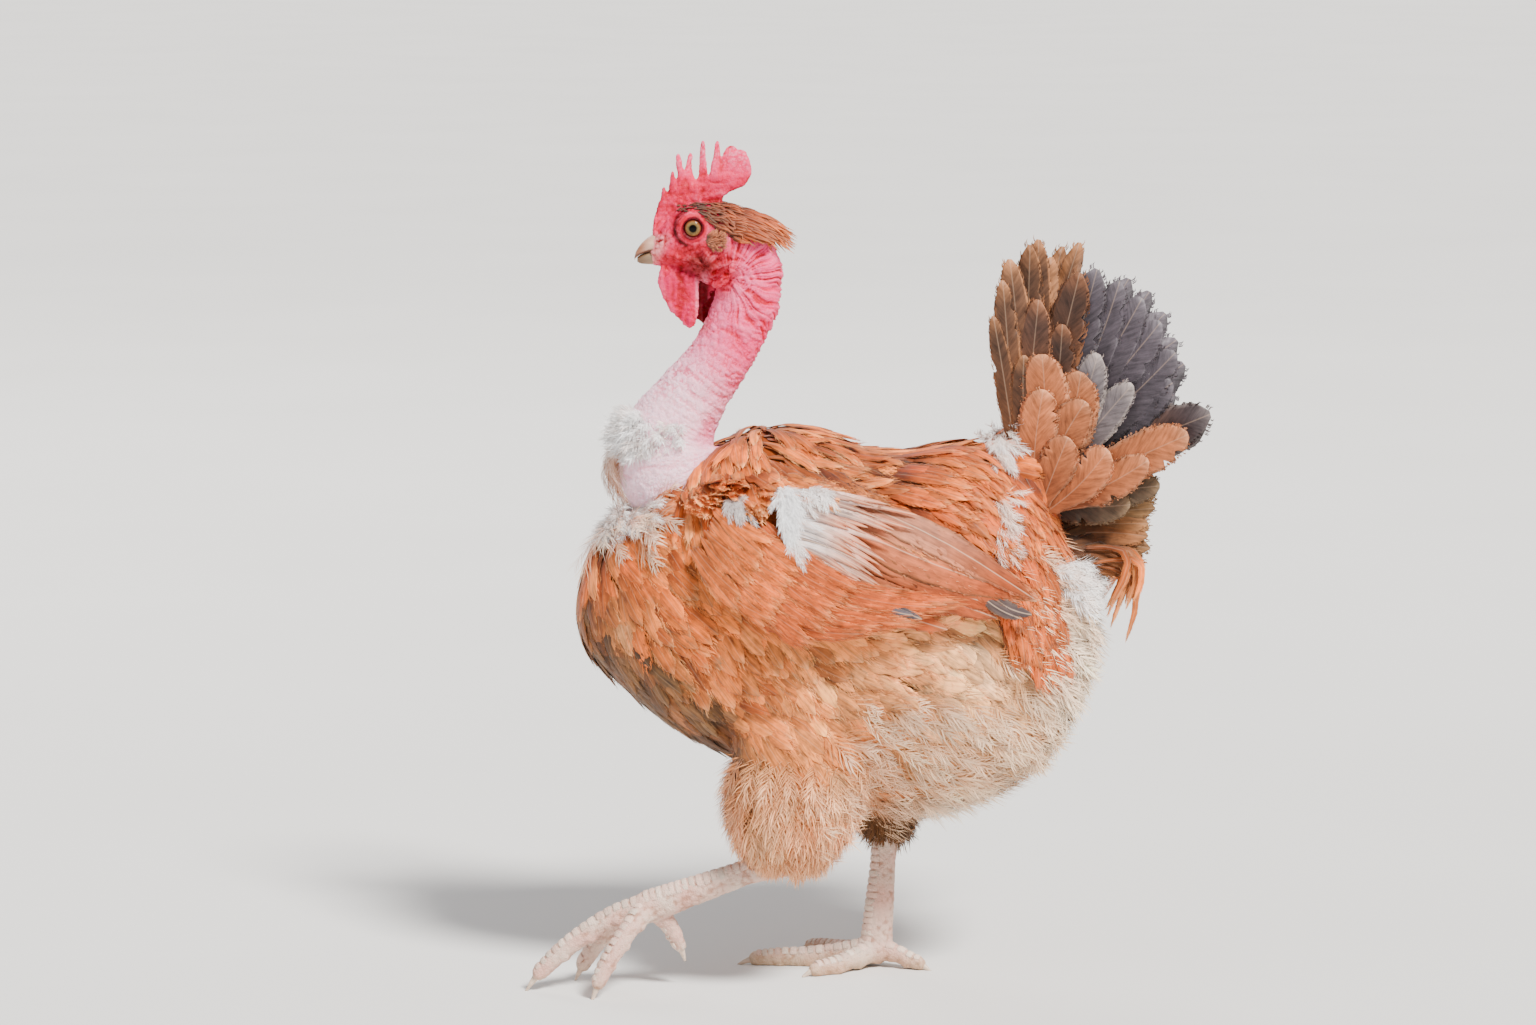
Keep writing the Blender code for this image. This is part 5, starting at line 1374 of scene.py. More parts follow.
def scapular_coat(tree, materials):
    """Strips of the cape that hang over the folded wing's shoulder and its upper edge."""
    chance = np.random.default_rng(66)
    scapulars = Feathers()
    for sign in SIDES.values():
        for i in range(SCAPULARS):
            x = CAPE_FROM + CAPE_REACH * (i + chance.uniform(-0.5, 0.5)) / SCAPULARS
            lean = smoothstep(-54, -30, x)
            low = np.interp(x, *CAPE_LOW)
            rise = abs(chance.normal(0, 1)) * 7
            shift = 8 + 18 * lean + chance.normal(0, 4.0)
            root, normal = nearest(tree, (x - shift, sign * chance.uniform(34, 50), 268))
            root = root + normal * 1.5
            out = wing_surface(x, min(low, np.interp(x, *WING_TOP))) + 2.5
            tip = np.array((x, sign * (out - 0.9 * rise * lean), low + rise * (1 - 0.8 * lean)))
            # Painted shade: strips over the hollow between cape and saddle are darkened and lose their pale
            # rims.
            dark = HOLLOW_DARK * np.exp(-((x - HOLLOW_X) / 9) ** 2)
            tint = mix(varied(np.array(ORANGE), chance), (0.16, 0.06, 0.025), dark * chance.uniform(0.6, 1.0))
            bow = np.array((chance.uniform(-2, 2), sign * chance.uniform(0, 2.5), chance.uniform(-4, 0)))
            facing = (chance.normal(0, 0.12), sign, 0.9)
            scapulars.hang(root, tip, bow, facing, 5.2 * chance.uniform(0.8, 1.2),
                           (tint, mix(tint, APRICOT, 0.45)), cup=0.12,
                           rim=chance.uniform(0.1, 0.8) * (1 - dark))
    vanes = [vane_template("hackle", 10, 46, 470 + k, 7.0, 0.2, 1 + k % 2, 1.2) for k in range(6)]
    return split_build(scapulars, "scapulars", vanes, materials["coat"], deep=0.75)


def varied(tint, chance):
    """One feather's own colour: most near the coat's, some deeper and some paler."""
    draw = chance.random()
    if tint[0] < 1.6 * tint[1]:
        return mix(tint, PALE, 0.3 * draw)
    if draw < 0.4:
        return mix(tint, tint * (0.72, 0.62, 0.55), chance.random())
    # Dark tints, such as the painted shade low on the breast, turn less pale.
    bright = 0.25 + 0.75 * smoothstep(0.35, 0.6, tint[0])
    return mix(tint, CREAM if draw > 0.92 else APRICOT, bright * chance.uniform(0, 0.55) * (draw > 0.6))


def cape_share(p):
    """1 over the ruffled cape behind the neck, 0 away from it."""
    x, _, z = p.T
    return smoothstep(-98, -84, x) * smoothstep(-2, -16, x) * smoothstep(226, 244, z)


def softness(p):
    """The share of downy feathers: rear, belly, and the breast's white top."""
    x, _, z = p.T
    soft = smoothstep(55, 95, x) * smoothstep(235, 205, z)
    soft = np.maximum(soft, smoothstep(120, 98, z) * smoothstep(-40, 0, x))
    soft = np.maximum(soft, 0.5 * smoothstep(160, 130, z) * smoothstep(-30, 20, x))
    return np.maximum(soft, smoothstep(0.02, 0.2, white_breast(p)))


def white_breast(p):
    x, _, z = p.T
    return smoothstep(224, 238, z - 0.2 * (x + 130)) * smoothstep(-102, -114, x)


def bare_of(p):
    """Leaves out the foot of the neck and the legs."""
    x, y, z = p.T
    neck = (np.hypot(x + 97, y) < 25) & (z > 236)
    return ~neck & (z > 60)


def split_build(feathers, name, templates, material, puff=1.0, deep=0.5):
    """Builds feathers as joined pieces, each under the limit of triangles."""
    most = PIECE_TRIANGLES // max(sum(len(f) * (f.shape[1] - 2) for f in faces) for _, faces in templates)
    total = len(feathers.lines)
    pieces = []
    for k, start in enumerate(range(0, total, most)):
        label = name if total <= most else f"{name}_{k + 1}"
        part = feathers.part(start, start + most)
        pieces.append(part.build(label, templates, material, 0.2, puff, k + 5, deep))
    return pieces


def thigh_coat(tree, materials):
    """Downy feathers round each thigh, hanging towards the hock."""
    chance = np.random.default_rng(71)
    downs = [down_template(22, 220 + k) for k in range(6)]
    fluff = Feathers()
    for side, sign in SIDES.items():
        lines = smooth_rows([(x, sign * y, z, d, w) for x, y, z, d, w in THIGH_ROWS[side]], 24)
        for x, y, z, deep, wide in (row for row in lines[5:] if row[2] > THIGH_END[side] + 6):
            count = max(6, int((deep + wide) * 0.66))
            for k in range(count):
                turn = 2 * math.pi * (k + chance.uniform(-0.4, 0.4)) / count
                out = np.array((math.cos(turn), math.sin(turn), 0.0))
                start = np.array((x, y, z)) + out * (deep - 5, wide - 5, 0)
                way = np.array((0.0, 0.0, -1.0)) + out * (-0.12) + chance.normal(0, 0.16, 3)
                length = min(20, z - THIGH_END[side]) * chance.uniform(0.8, 1.15)
                tint = thigh_colour(start, side)
                fluff.lay(tree, start, way, length, 8.5, (0.5, 5.5, 7.0 * chance.uniform(0.6, 1.2)),
                          (tint, mix(tint, PALE, THIGH_PALE[side])), cup=0.3, rim=0.1)
    return split_build(fluff, "thigh_down", downs, materials["down"], 5.0, 0.8)


def thigh_colour(place, side):
    """The near thigh is a mottled apricot; the far one is a dull brown that is painted shade."""
    base, light = THIGH_TINTS[side]
    return mix(base, CREAM, (0.45 + 0.5 * noise(place[None], 16.0, 72)[0]) * light)


def wing_rows(side, chance):
    """The quills and the pale bases among them, and the soft coverts that lie over them."""
    quills, coverts = Feathers(), Feathers()
    for name, (root_a, tip_a, root_b, tip_b, count, half, layer, step, bend) in WING_TIERS.items():
        base, end = WING_TINTS[name]
        pale = name == "bases"
        soft = name == "lower" or name.startswith("covert")
        group, loose = (coverts, 2.6) if soft else (quills, 0.8)
        for i in range(count):
            share = i / (count - 1)
            root = mix(root_a, root_b, share) + chance.uniform(-loose, loose, 2)
            tip = mix(tip_a, tip_b, share) + chance.uniform(-loose, loose, 2) * 0.5
            height = layer + step * i + chance.uniform(-0.15, 0.15)
            shade = mix(base, end, chance.uniform(0.0, 0.2 if pale else 0.5))
            if pale:
                tip = tip + unit(tip - root) * chance.uniform(-16, 16)
                shade = mix(shade, (0.42, 0.33, 0.31), chance.uniform(0.3, 0.9) * (chance.random() < 0.3))
            group.add(on_sheet(wing_surface, side, root, tip, bend=bend), np.linalg.norm(tip - root),
                      half * chance.uniform(0.92, 1.08), (height - 3.0, height - 0.3, height + 0.5),
                      (shade, mix(end, base, chance.uniform(0, 0.1 if pale else 0.4))), wing_home(root),
                      cup=0.1, rim=chance.uniform(0.1, 0.45) * (not pale))
    return quills, coverts


def wing_down(side, chance):
    down = Feathers()
    for (x, z), (deep, high), count, tint in WING_DOWN:
        for _ in range(count):
            root = np.array((x + deep * chance.uniform(-1, 1), z + high * chance.uniform(-1, 1)))
            length = chance.uniform(*LENGTHS["wing down"])
            way = np.array((0.45, -0.85)) + chance.normal(0, 0.3, 2)
            shade = mix(tint, WHITE, chance.uniform(0, 0.5))
            down.add(on_sheet(wing_surface, side, root, root + way * length, 6), length, 3.0,
                     (0.5, 3.2, 3.4 + chance.uniform(-0.6, 0.8)), (shade, shade), wing_home(root), rim=0.0)
    return down


def wing_coat(side, materials):
    """The folded wing's quills, the coverts over their bases, and the pale down between."""
    chance = np.random.default_rng(81)
    long_vanes = [vane_template("blade", 26, 60, 300 + k, 8.0, 0.06, k % 3, 0.5) for k in range(4)]
    short_vanes = [vane_template("blade", 14, 70, 320 + k, 7.0, 0.12, k % 2, 1.5) for k in range(6)]
    downs = [down_template(18, 340 + k) for k in range(4)]
    quills, coverts = wing_rows(side, chance)
    down = wing_down(side, chance)
    return [quills.build("wing_quills_" + side, long_vanes, materials["wing"], 0.25, 1.0, 3, 0.85),
            coverts.build("wing_coverts_" + side, short_vanes, materials["coat"], 0.15, 0.8, 4, 0.85),
            down.build("wing_down_" + side, downs, materials["down"], 0.2, 1.5, 4, 1.0)]


def wing_home(root):
    return (root[0] + 100) / 200, (root[1] - 160) / 110


def tail_home(x, z):
    return (x + 20) / 220, (z - 200) / 200


def tail_coat(side, materials):
    """Half of the tented tail: broad quills, and softer coverts over their bases."""
    chance, sign = np.random.default_rng(91), SIDES[side]
    fan = Feathers()
    for i, (x, z, half, layer, look) in enumerate(TAIL_FAN):
        root = np.array(TAIL_ROOT) + (0.5 * i, -0.5 * i)
        tip = np.array((x, z)) + chance.uniform(-1, 1, 2)
        if look == "orange":
            root = root + (tip - root) * 0.15
        base, end, rim, strength = TAIL_TINTS[look]
        path = on_sheet(tail_sheet, side, root, tip, bend=chance.uniform(-3, 3))
        fan.add(path, np.linalg.norm(tip - root), half, (layer - 1, layer, layer + 0.6), (base, end, rim),
                tail_home(x, z), cup=0.1, rim=strength)
    for i in range(TAIL_MIDDLE):
        share = i / (TAIL_MIDDLE - 1)
        turn = math.radians(74 - 92 * share)
        root = np.array((TAIL_ROOT[0], sign * 4.0, TAIL_ROOT[1]))
        tip = root + 60 * np.array((math.cos(turn), sign * chance.uniform(-0.05, 0.12), math.sin(turn)))
        base, end, rim, strength = TAIL_TINTS["slate" if share < 0.5 else "streaked"]
        path = free_path(root, tip, (0, 0, 0), (math.sin(turn), 0, -math.cos(turn)), 8)
        fan.add(path, 60, 9.0, (0, 0, 0), (base, end, rim), tail_home(*TAIL_ROOT), cup=0.1, rim=strength)
    vanes = [vane_template("broad", 30, 130, 400 + k, 7.0, 0.05, 1 + k % 3, 0.35) for k in range(6)]
    return [fan.build("tail_feathers_" + side, vanes, materials["tail"], 0.25, 1.0, 7, 0.8)]


def saddle_coat(tree, materials):
    """Long hackles from the back over the wing's rear edge, and behind it down the flank."""
    chance = np.random.default_rng(95)
    hackles = Feathers()
    for sign in SIDES.values():
        for i in range(SADDLE_COUNT):
            share = (i + chance.random()) / SADDLE_COUNT
            start = (2 + 84 * share, sign * chance.uniform(2, 48), 268 - chance.uniform(0, 16))
            way = (0.85 - 0.55 * share, sign * 0.25, -0.3 - 0.8 * share)
            length = chance.uniform(*LENGTHS["saddle"])
            tint = mix(ORANGE, DEEP_ORANGE, chance.uniform(0.1, 1.1))
            lift = 6.5 + chance.uniform(0, 3)
            hackles.lay(tree, start, way, length, chance.uniform(3.6, 5.4), (0.5, 5.5, lift),
                        (tint, mix(tint, APRICOT, 0.2)), cup=0.2, rim=0.3)
        for i in range(FLANK_COUNT):
            start = (chance.uniform(66, 92), sign * 60, chance.uniform(205, 252))
            way = (0.3 + chance.normal(0, 0.1), 0, -1.0)
            length = chance.uniform(*LENGTHS["flank"])
            tint = mix(ORANGE, DEEP_ORANGE, chance.uniform(0.2, 1.1))
            hackles.lay(tree, start, way, length, chance.uniform(4, 6),
                        (1.0, 6.5, 8.5 + chance.uniform(-1, 2)), (tint, mix(tint, APRICOT, 0.2)),
                        cup=0.2, rim=0.15)
    vanes = [vane_template("blade", 11, 40, 420 + k, 8.0, 0.12, k % 2, 1.5) for k in range(6)]
    return split_build(hackles, "saddle_hackles", vanes, materials["coat"])


def vent_coat(tree, materials):
    """Under the tail: olive-brown coverts, curled orange feathers and white fluff."""
    chance = np.random.default_rng(96)
    coverts, fluff = Feathers(), Feathers()
    for sign in SIDES.values():
        for i in range(VENT_COVERTS):
            share = i / (VENT_COVERTS - 1)
            root = np.array((92 + 6 * share, sign * (4 + 12 * share), 232 - 16 * share))
            tip = np.array((143 - 8 * share, sign * (7 + 8 * share), 240 - 36 * share))
            tip = tip + chance.uniform(-2.5, 2.5, 3)
            tint = mix(OLIVE_BROWN, DEEP_ORANGE, 0.25 * share + chance.uniform(0, 0.2))
            coverts.hang(root, tip, (0, 0, 3), (0, sign, 0.3), 8.5, (tint, tint, (0.55, 0.36, 0.2)), rim=0.5)
        for i in range(VENT_CURLS):
            root = np.array((108, sign * (8 + chance.uniform(-3, 12)), 222 - chance.uniform(0, 14)))
            tip = np.array((134 - chance.uniform(0, 16), sign * (14 + chance.uniform(-6, 14)),
                            176 + chance.uniform(-1, 22)))
            tint = mix(ORANGE, APRICOT, chance.uniform(0, 0.8))
            coverts.hang(root, tip, (15, 0, 10), (0.2, sign, 0.2), 1.9, (tint, tint),
                         length=np.linalg.norm(tip - root) * 1.1, cup=0.4, rim=0.6)
        for _ in range(VENT_FLUFF):
            start = (chance.uniform(92, 106), sign * chance.uniform(0, 40), chance.uniform(198, 217))
            way = np.array((0.9, sign * 0.1, -0.45)) + chance.normal(0, 0.2, 3)
            length = chance.uniform(*LENGTHS["vent down"])
            root, normal = nearest(tree, start)
            tip = root + unit(way + normal * 0.55) * length
            tint = mix(WHITE, APRICOT, chance.uniform(0, 0.4))
            fluff.hang(root, tip, normal * 2, normal, 7.0, (tint, mix(tint, WHITE, 0.7)),
                       length=length, cup=0.3, rim=0.0)
    vanes = [vane_template("blade", 14, 60, 430 + k, 5.0, 0.08, 0, 0.5) for k in range(4)]
    downs = [down_template(20, 435 + k) for k in range(4)]
    return [coverts.build("vent_coverts", vanes, materials["coat"], 0.2, 1.0, 8),
            fluff.build("vent_down", downs, materials["down"], 0.2, 3.5, 8, 1.0)]


def rump_down(tree, materials):
    """A line of white down where the back meets the tail."""
    chance = np.random.default_rng(92)
    down = Feathers()
    for sign in SIDES.values():
        for _ in range(RUMP_COUNT):
            share = chance.choice((0.0, 0.55)) + chance.uniform(0, 0.2 if chance.random() < 0.5 else 0.35)
            start = (61 + 7 * share + chance.uniform(-2, 2), sign * (6 + 56 * share), 288 - 62 * share)
            way = np.array((0.3, 0.1 * sign, -0.8)) + chance.normal(0, 0.4, 3)
            length = chance.uniform(*LENGTHS["rump down"])
            tint = mix(WHITE, APRICOT, min(1.0, 0.3 * chance.random() + 0.5 * share))
            down.lay(tree, start, way, length, 3.4, (3.0, 7.5, 9.5 + chance.uniform(-2, 2)),
                     (tint, mix(tint, WHITE, 0.5)), rim=0.0)
    downs = [down_template(24, 350 + k, 3.0, 1.6) for k in range(4)]
    return [down.build("rump_down", downs, materials["down"], 0.2, 2.0, 4, 1.0)]


def crown_coat(head, materials):
    """Short dark feathers over the brow that lengthen into an orange crest behind the head."""
    tree = surface_tree(head)
    chance = np.random.default_rng(97)

    def top(p):
        x, y, z = p.T
        comb = (np.abs(y) < 3.4) & (z > 389.2 - 0.2 * np.maximum(0, x + 72))
        return (x > -95) & (x < -53) & (z > np.interp(x, *CROWN_LOW)) & (z < 392) & ~comb

    crown = Feathers()
    for p in scatter(head, CROWN_GAP, top, 98):
        x, y, z = p
        way = np.array((1.0, 0.025 * y, -0.25)) + chance.normal(0, 0.16, 3)
        length = np.interp(x, [-95, -88, -80, -66, -53], [3.5, 5, 9, 14, 11]) * chance.uniform(0.7, 1.3)
        share = smoothstep(-88, -66, x)
        tint = mix(CROWN_DARK, (0.47, 0.135, 0.04), np.clip(share * 0.8 + chance.uniform(-0.15, 0.35), 0, 1))
        high = 0.8 + 2.2 * share
        wide = np.interp(x, [-95, -80, -66], [0.6, 0.8, 1.0])
        path = walk(tree, p, way, length)
        if x > -66:
            path = free_path(p, p + (length, 0.04 * length * y / 5, -0.42 * length), (0, 0, 0.8),
                             (0.2, np.sign(y), 0.6))
        crown.add(path, length, wide, (-0.4, high * 0.6, high * chance.uniform(0.6, 1.1)),
                  (tint, mix(tint, ORANGE, 0.4 * share)), head_home(p), cup=0.1, rim=0.12)
    for _ in range(CREST_COUNT):
        y = chance.uniform(-11, 11)
        root = np.array((-62 + chance.uniform(-6, 6), y, 385.4 - 0.03 * y * y + chance.uniform(-5, 1)))
        tip = np.array((-42 + chance.uniform(-12, 7), y * 1.05, 371.5 + chance.uniform(-5, 5)))
        tint = mix(DEEP_ORANGE, ORANGE, 0.6 * chance.random())
        crown.hang(root, tip, (0, 0, 2.4), (0.1, 0.6 * np.sign(y), 0.8), 0.9,
                   (tint, mix(tint, APRICOT, 0.2)), home=head_home, cup=0.1, rim=0.2)
    vanes = [vane_template("hackle", 7, 10, 440 + k, 9.0, 0.1) for k in range(4)]
    return [crown.build("crown_feathers", vanes, materials["coat"], 0.12, 0.6, 9, 0.75)]


def ear_coat(side, head, materials):
    """Bristly tan feathers that cover the ear."""
    sign = SIDES[side]
    tree = surface_tree(head)
    chance = np.random.default_rng(93)
    ear = Feathers()
    for _ in range(EAR_COUNT):
        turn, far = chance.uniform(0, 2 * np.pi), chance.random() ** 0.5
        x = EAR_CENTRE[0] + 4.4 * far * math.cos(turn)
        z = EAR_CENTRE[1] + 3.8 * far * math.sin(turn)
        way = np.array((0.75, 0, 0.15 + 0.6 * (z - 373) / 4)) + chance.normal(0, 0.15, 3)
        length = chance.uniform(*LENGTHS["ear"])
        dark = chance.uniform(0, 0.6) + 0.4 * smoothstep(-76, -79, x)
        tint = mix((0.64, 0.24, 0.11), (0.34, 0.10, 0.05), dark)
        high = 1.1 * (1 - 0.6 * far)
        ear.add(walk(tree, (x - 1.2, sign * 16, z), way, length, 4), length, 0.5,
                (high - 0.6, high, high + 0.5), (tint, mix(tint, CREAM, 0.15)),
                head_home((x, sign * 16, z)), rim=0.1)
    vanes = [vane_template("hackle", 6, 8, 460 + k, 4.0, 0.1) for k in range(3)]
    return [ear.build("ear_feathers_" + side, vanes, materials["coat"], 0.12, 0.5, 9)]


def neck_tuft(materials):
    """White down on the front of the neck, with ochre wisps that hang from it."""
    chance = np.random.default_rng(99)
    tuft = Feathers()
    centre = np.array(TUFT_CENTRE)
    for _ in range(TUFT_COUNT):
        turn, rise = np.clip(chance.normal(0, 0.8), -1.75, 1.75), chance.uniform(-1.0, 1.0)
        out = np.array((-math.cos(turn), math.sin(turn), 0.3 + 0.5 * rise))
        reach = (1 - 0.45 * smoothstep(0.6, 1.75, abs(turn))) * (1 - 0.3 * abs(rise))
        root = centre + (18 - 19.5 * math.cos(turn), 16 * math.sin(turn), 10.5 * rise * reach)
        length = chance.uniform(*LENGTHS["tuft"]) * reach
        tip = root + unit(out) * length + (0, 0, -0.4 * length)
        tint = mix(WHITE, (0.84, 0.66, 0.55), chance.uniform(0, 0.4) * (chance.random() < 0.3))
        facing = unit((0, 0.5 * math.copysign(1, turn), 0.8) + chance.normal(0, 0.5, 3))
        tuft.hang(root, tip, (0, 0, 1.5), facing, 4.8, (tint, tint), home=head_home, length=length,
                  cup=0.2, rim=0.0)
    for _ in range(WISP_COUNT):
        root = centre + (chance.uniform(-12, -2), chance.uniform(-14, 10), chance.uniform(-12, -4))
        tip = root + (chance.uniform(-6, 3), chance.uniform(-3, 3), -chance.uniform(*LENGTHS["wisp"]))
        tint = mix(WHITE, (0.60, 0.30, 0.13), chance.uniform(0.2, 1.0))
        tuft.hang(root, tip, (-4, 0, 0), (0.2, -1.0, 0.1), 2.2, (tint, tint), home=head_home,
                  cup=0.2, rim=0.0)
    downs = [down_template(16, 240 + k) for k in range(5)]
    return [tuft.build("neck_down", downs, materials["down"], 0.2, 3.0, 10, 1.0)]


# ---------------------------------------------------------------- eyes, bill, claws, scutes

def eye_material():
    """Iris, pupil and their dark rims by how far a place lies from the eye's own axis."""
    made, tree, shader = node_material("eye")
    place = add(tree, "ShaderNodeUVMap", uv_map="Iris")
    split = add(tree, "ShaderNodeSeparateXYZ", Vector=place.outputs["UV"])
    rings = ramp(tree, split.outputs["X"], (0.0, (0.004, 0.003, 0.003)), (0.185, (0.002, 0.002, 0.002)),
                 (0.205, (0.07, 0.04, 0.015)), (0.28, (0.17, 0.115, 0.045)), (0.39, (0.24, 0.10, 0.03)),
                 (0.445, (0.12, 0.02, 0.01)), (0.50, (0.02, 0.003, 0.003)))
    fibre = pattern(tree, 900.0, 4.0)
    bumped(tree, shader, fibre, 0.00003)
    feed(tree, shader, Base_Color=multiplied(tree, rings, between_greys(tree, fibre, 0.7, 1.25)),
         Roughness=0.08, Specular_IOR_Level=0.07)
    return made


def make_eye(side, material):
    """An eyeball with a bulging cornea; its map gives the share of the way out from the axis."""
    sign = SIDES[side]
    rows, across = 40, 48
    fall = np.linspace(0, np.pi, rows + 2)[1:-1]
    turn = np.linspace(0, 2 * np.pi, across, endpoint=False)
    bulge = EYE_RADIUS + 0.5 * np.exp(-((fall / 0.6) ** 2))
    ring = np.stack([np.cos(turn), np.zeros(across), np.sin(turn)], axis=-1)
    rings = ring[None] * (np.sin(fall) * bulge)[:, None, None]
    rings = rings + np.array((0, sign, 0)) * (np.cos(fall) * bulge)[:, None, None]
    x, y, z = EYE_CENTRE
    points, faces = loft(rings + np.array((x, sign * y, z)))
    out = np.concatenate([np.repeat(fall / 1.2, across), [0.0, 1.0]])
    uv = np.stack([np.clip(out, 0, 1), np.zeros(len(out))], axis=-1)
    return put("eyeball_" + side, points, faces, uvs={"Iris": uv}, materials=[material])


def make_bill(material):
    pieces = []
    upper = ("bill_top", BILL_UPPER_ROWS, (0.78, 0.56, 0.46), (0.52, 0.27, 0.16), -114, 1.0, 0.3)
    lower = ("bill_under", BILL_LOWER_ROWS, (0.50, 0.38, 0.27), (0.36, 0.24, 0.15), -113, 0.0, 0.0)
    for name, rows, base, end, foremost, mottle, ridge in (upper, lower):
        points, faces = body_form(rows, 40, 48, power=2.0)
        x, y, z = points.T
        tint = mix(base, end, smoothstep(-106, foremost, x + mottle * noise(points, 2.5, 34)))
        # Painted shade: a dark line along the gape, where the mandibles meet.
        edge = smoothstep(1.2, 0.2, np.abs(z - np.interp(x, [-115, -108, -99], [364, 366.8, 367.2])))
        tint = mix(tint, (0.20, 0.10, 0.07), 0.7 * edge)
        # Painted highlight: a pale stripe along the top of the upper bill.
        tint = mix(tint, (0.90, 0.76, 0.70), smoothstep(3.0, 0.5, np.abs(y)) * ridge)
        pieces.append(put(name, points, faces, tint, materials=[material]))
    return pieces


def make_claw(side, toe, material):
    line = toe_line(side, toe)
    heading = unit(line[-1] - line[-2])
    length = CLAW_LENGTH[toe]
    share = np.linspace(0, 1, 5)
    points = [line[-1] - heading * 2.5 + heading * length * t + np.array((0, 0, -0.25 * length * t * t))
              for t in share]
    radii = [2.7 * (1 - 0.8 * t) for t in share]
    form, faces = limb_form(points, radii, [r * 0.8 for r in radii], 24, 20)
    form[:, 2] = np.maximum(form[:, 2], 0.0)
    tint = np.tile((0.78, 0.66, 0.56), (len(form), 1))
    return put(f"claw_horn_{side}_{toe}", form, faces, tint, materials=[material])


def make_scutes(side, material):
    """Overlapping plates down the front of the shank and over each toe."""
    hock, ball = leg_joints(side)
    shank = [hock + (ball - hock) * t for t in (0, 0.35, 0.7, 1.0)]
    limbs = [(shank, SHANK_DEPTH, SHANK_WIDTH, SHANK_SCUTES, 1.25)]
    for toe, radii in TOE_RADII.items():
        limbs.append((toe_line(side, toe), radii, [r * 0.92 for r in radii], TOE_SCUTES[toe], 1.05))
    forms, tints = [], []
    chance = np.random.default_rng(110)
    for line, depths, widths, count, spread in limbs:
        rows, beside, deep = limb_rows(line, depths, widths, count * 8 + 1)
        front = np.where((deep[:, 0] - deep[:, 2])[:, None] > 0, -deep, deep)
        for plate in range(count):
            grid = []
            tilt = chance.uniform(-0.1, 0.1)
            for step in range(7):
                k = min(len(rows) - 1, plate * 8 + step + 1)
                edge = math.sin(math.pi * (step + 0.5) / 7) ** 0.5
                for turn in np.linspace(-spread, spread, 9) + tilt:
                    fade = max(0.0, 1 - abs(turn - tilt) / spread) ** 0.4
                    rise = 0.10 + 0.42 * edge * fade
                    way = front[k] * math.cos(turn)
                    side_way = beside[k] * math.sin(turn)
                    grid.append(rows[k, :3] + way * (rows[k, 3] + rise) + side_way * (rows[k, 4] + rise))
            grid = np.array(grid)
            centre = rows[min(len(rows) - 1, plate * 8 + 4), :3]
            low = grid + (centre - grid) * 0.16
            forms.append(plate_form(grid, low, 7, 9))
            shade = chance.uniform(0.9, 1.12)
            tints += [mix(LEG_IVORY, LEG_PINK, chance.uniform(0, 0.5)) * shade] * len(forms[-1][0])
    points, faces = joined(forms)
    points[:, 2] = np.maximum(points[:, 2], 0.0)
    return put("scutes_" + side, points, faces, tints, materials=[material])


def plate_form(top, low, rows, columns):
    """A closed plate between a grid of points and the same grid lower down."""
    i, j = np.meshgrid(np.arange(rows - 1), np.arange(columns - 1), indexing="ij")
    a = i * columns + j
    quads = np.stack([a, a + 1, a + columns + 1, a + columns], axis=-1).reshape(-1, 4)
    under = quads[:, ::-1] + rows * columns
    rim = [*range(columns - 1), *range(columns - 1, rows * columns - 1, columns),
           *range(rows * columns - 1, (rows - 1) * columns, -1), *range((rows - 1) * columns, 0, -columns)]
    rim = np.array(rim)
    after = np.roll(rim, -1)
    walls = np.stack([rim, rim + rows * columns, after + rows * columns, after], axis=-1)
    return np.vstack([top, low]), [np.vstack([quads, under, walls])]


# ---------------------------------------------------------------- stage

def make_camera():
    data = bpy.data.cameras.new("camera")
    data.lens = LENS
    data.sensor_width = 36
    camera = bpy.data.objects.new("camera", data)
    camera.location = AIM + Vector((0, -math.cos(ELEVATION), math.sin(ELEVATION))) * DISTANCE
    camera.rotation_euler = (math.pi / 2 - ELEVATION, 0, 0)
    bpy.context.scene.collection.objects.link(camera)
    bpy.context.scene.camera = camera


def make_light(name, place, aim, size, power, colour):
    data = bpy.data.lights.new(name, "AREA")
    data.shape = "DISK"
    data.size = size
    data.energy = power
    data.color = colour
    light = bpy.data.objects.new(name, data)
    light.location = place
    light.rotation_euler = (Vector(aim) - Vector(place)).to_track_quat("-Z", "Y").to_euler()
    bpy.context.scene.collection.objects.link(light)


def make_stage():
    size = 30.0
    corners = np.array([(-size, -size, 0), (size, -size, 0), (size, size, 0), (-size, size, 0)]) / MM
    corners[:, 2] = -0.02
    floor = put("studio_floor", corners, [np.array([[0, 1, 2, 3]])], materials=[floor_material()])
    world = bpy.data.worlds.new("studio")
    world.use_nodes = True
    world.node_tree.nodes["Background"].inputs["Color"].default_value = (0.93, 0.95, 1.0, 1)
    world.node_tree.nodes["Background"].inputs["Strength"].default_value = 0.5
    bpy.context.scene.world = world
    key = bpy.data.lights.new("key", "SUN")
    key.angle = math.radians(14)
    key.energy = KEY_POWER
    key.color = (1.0, 0.97, 0.93)
    light = bpy.data.objects.new("key", key)
    light.rotation_euler = Vector((1.3, -1.7, 2.5)).to_track_quat("Z", "Y").to_euler()
    bpy.context.scene.collection.objects.link(light)
    make_light("fill", (-2.2, -1.6, 1.0), (0, 0, 0.2), 2.0, 10, (0.95, 0.97, 1.0))
    make_light("back", (-0.8, 2.2, 2.2), (0, 0, 0.25), 1.6, 30, (1.0, 0.98, 0.95))


def join(name, objects):
    """One object out of several, by joining their meshes."""
    bpy.ops.object.select_all(action="DESELECT")
    for obj in objects:
        obj.select_set(True)
    bpy.context.view_layer.objects.active = objects[0]
    bpy.ops.object.join()
    objects[0].name = objects[0].data.name = name
    return objects[0]


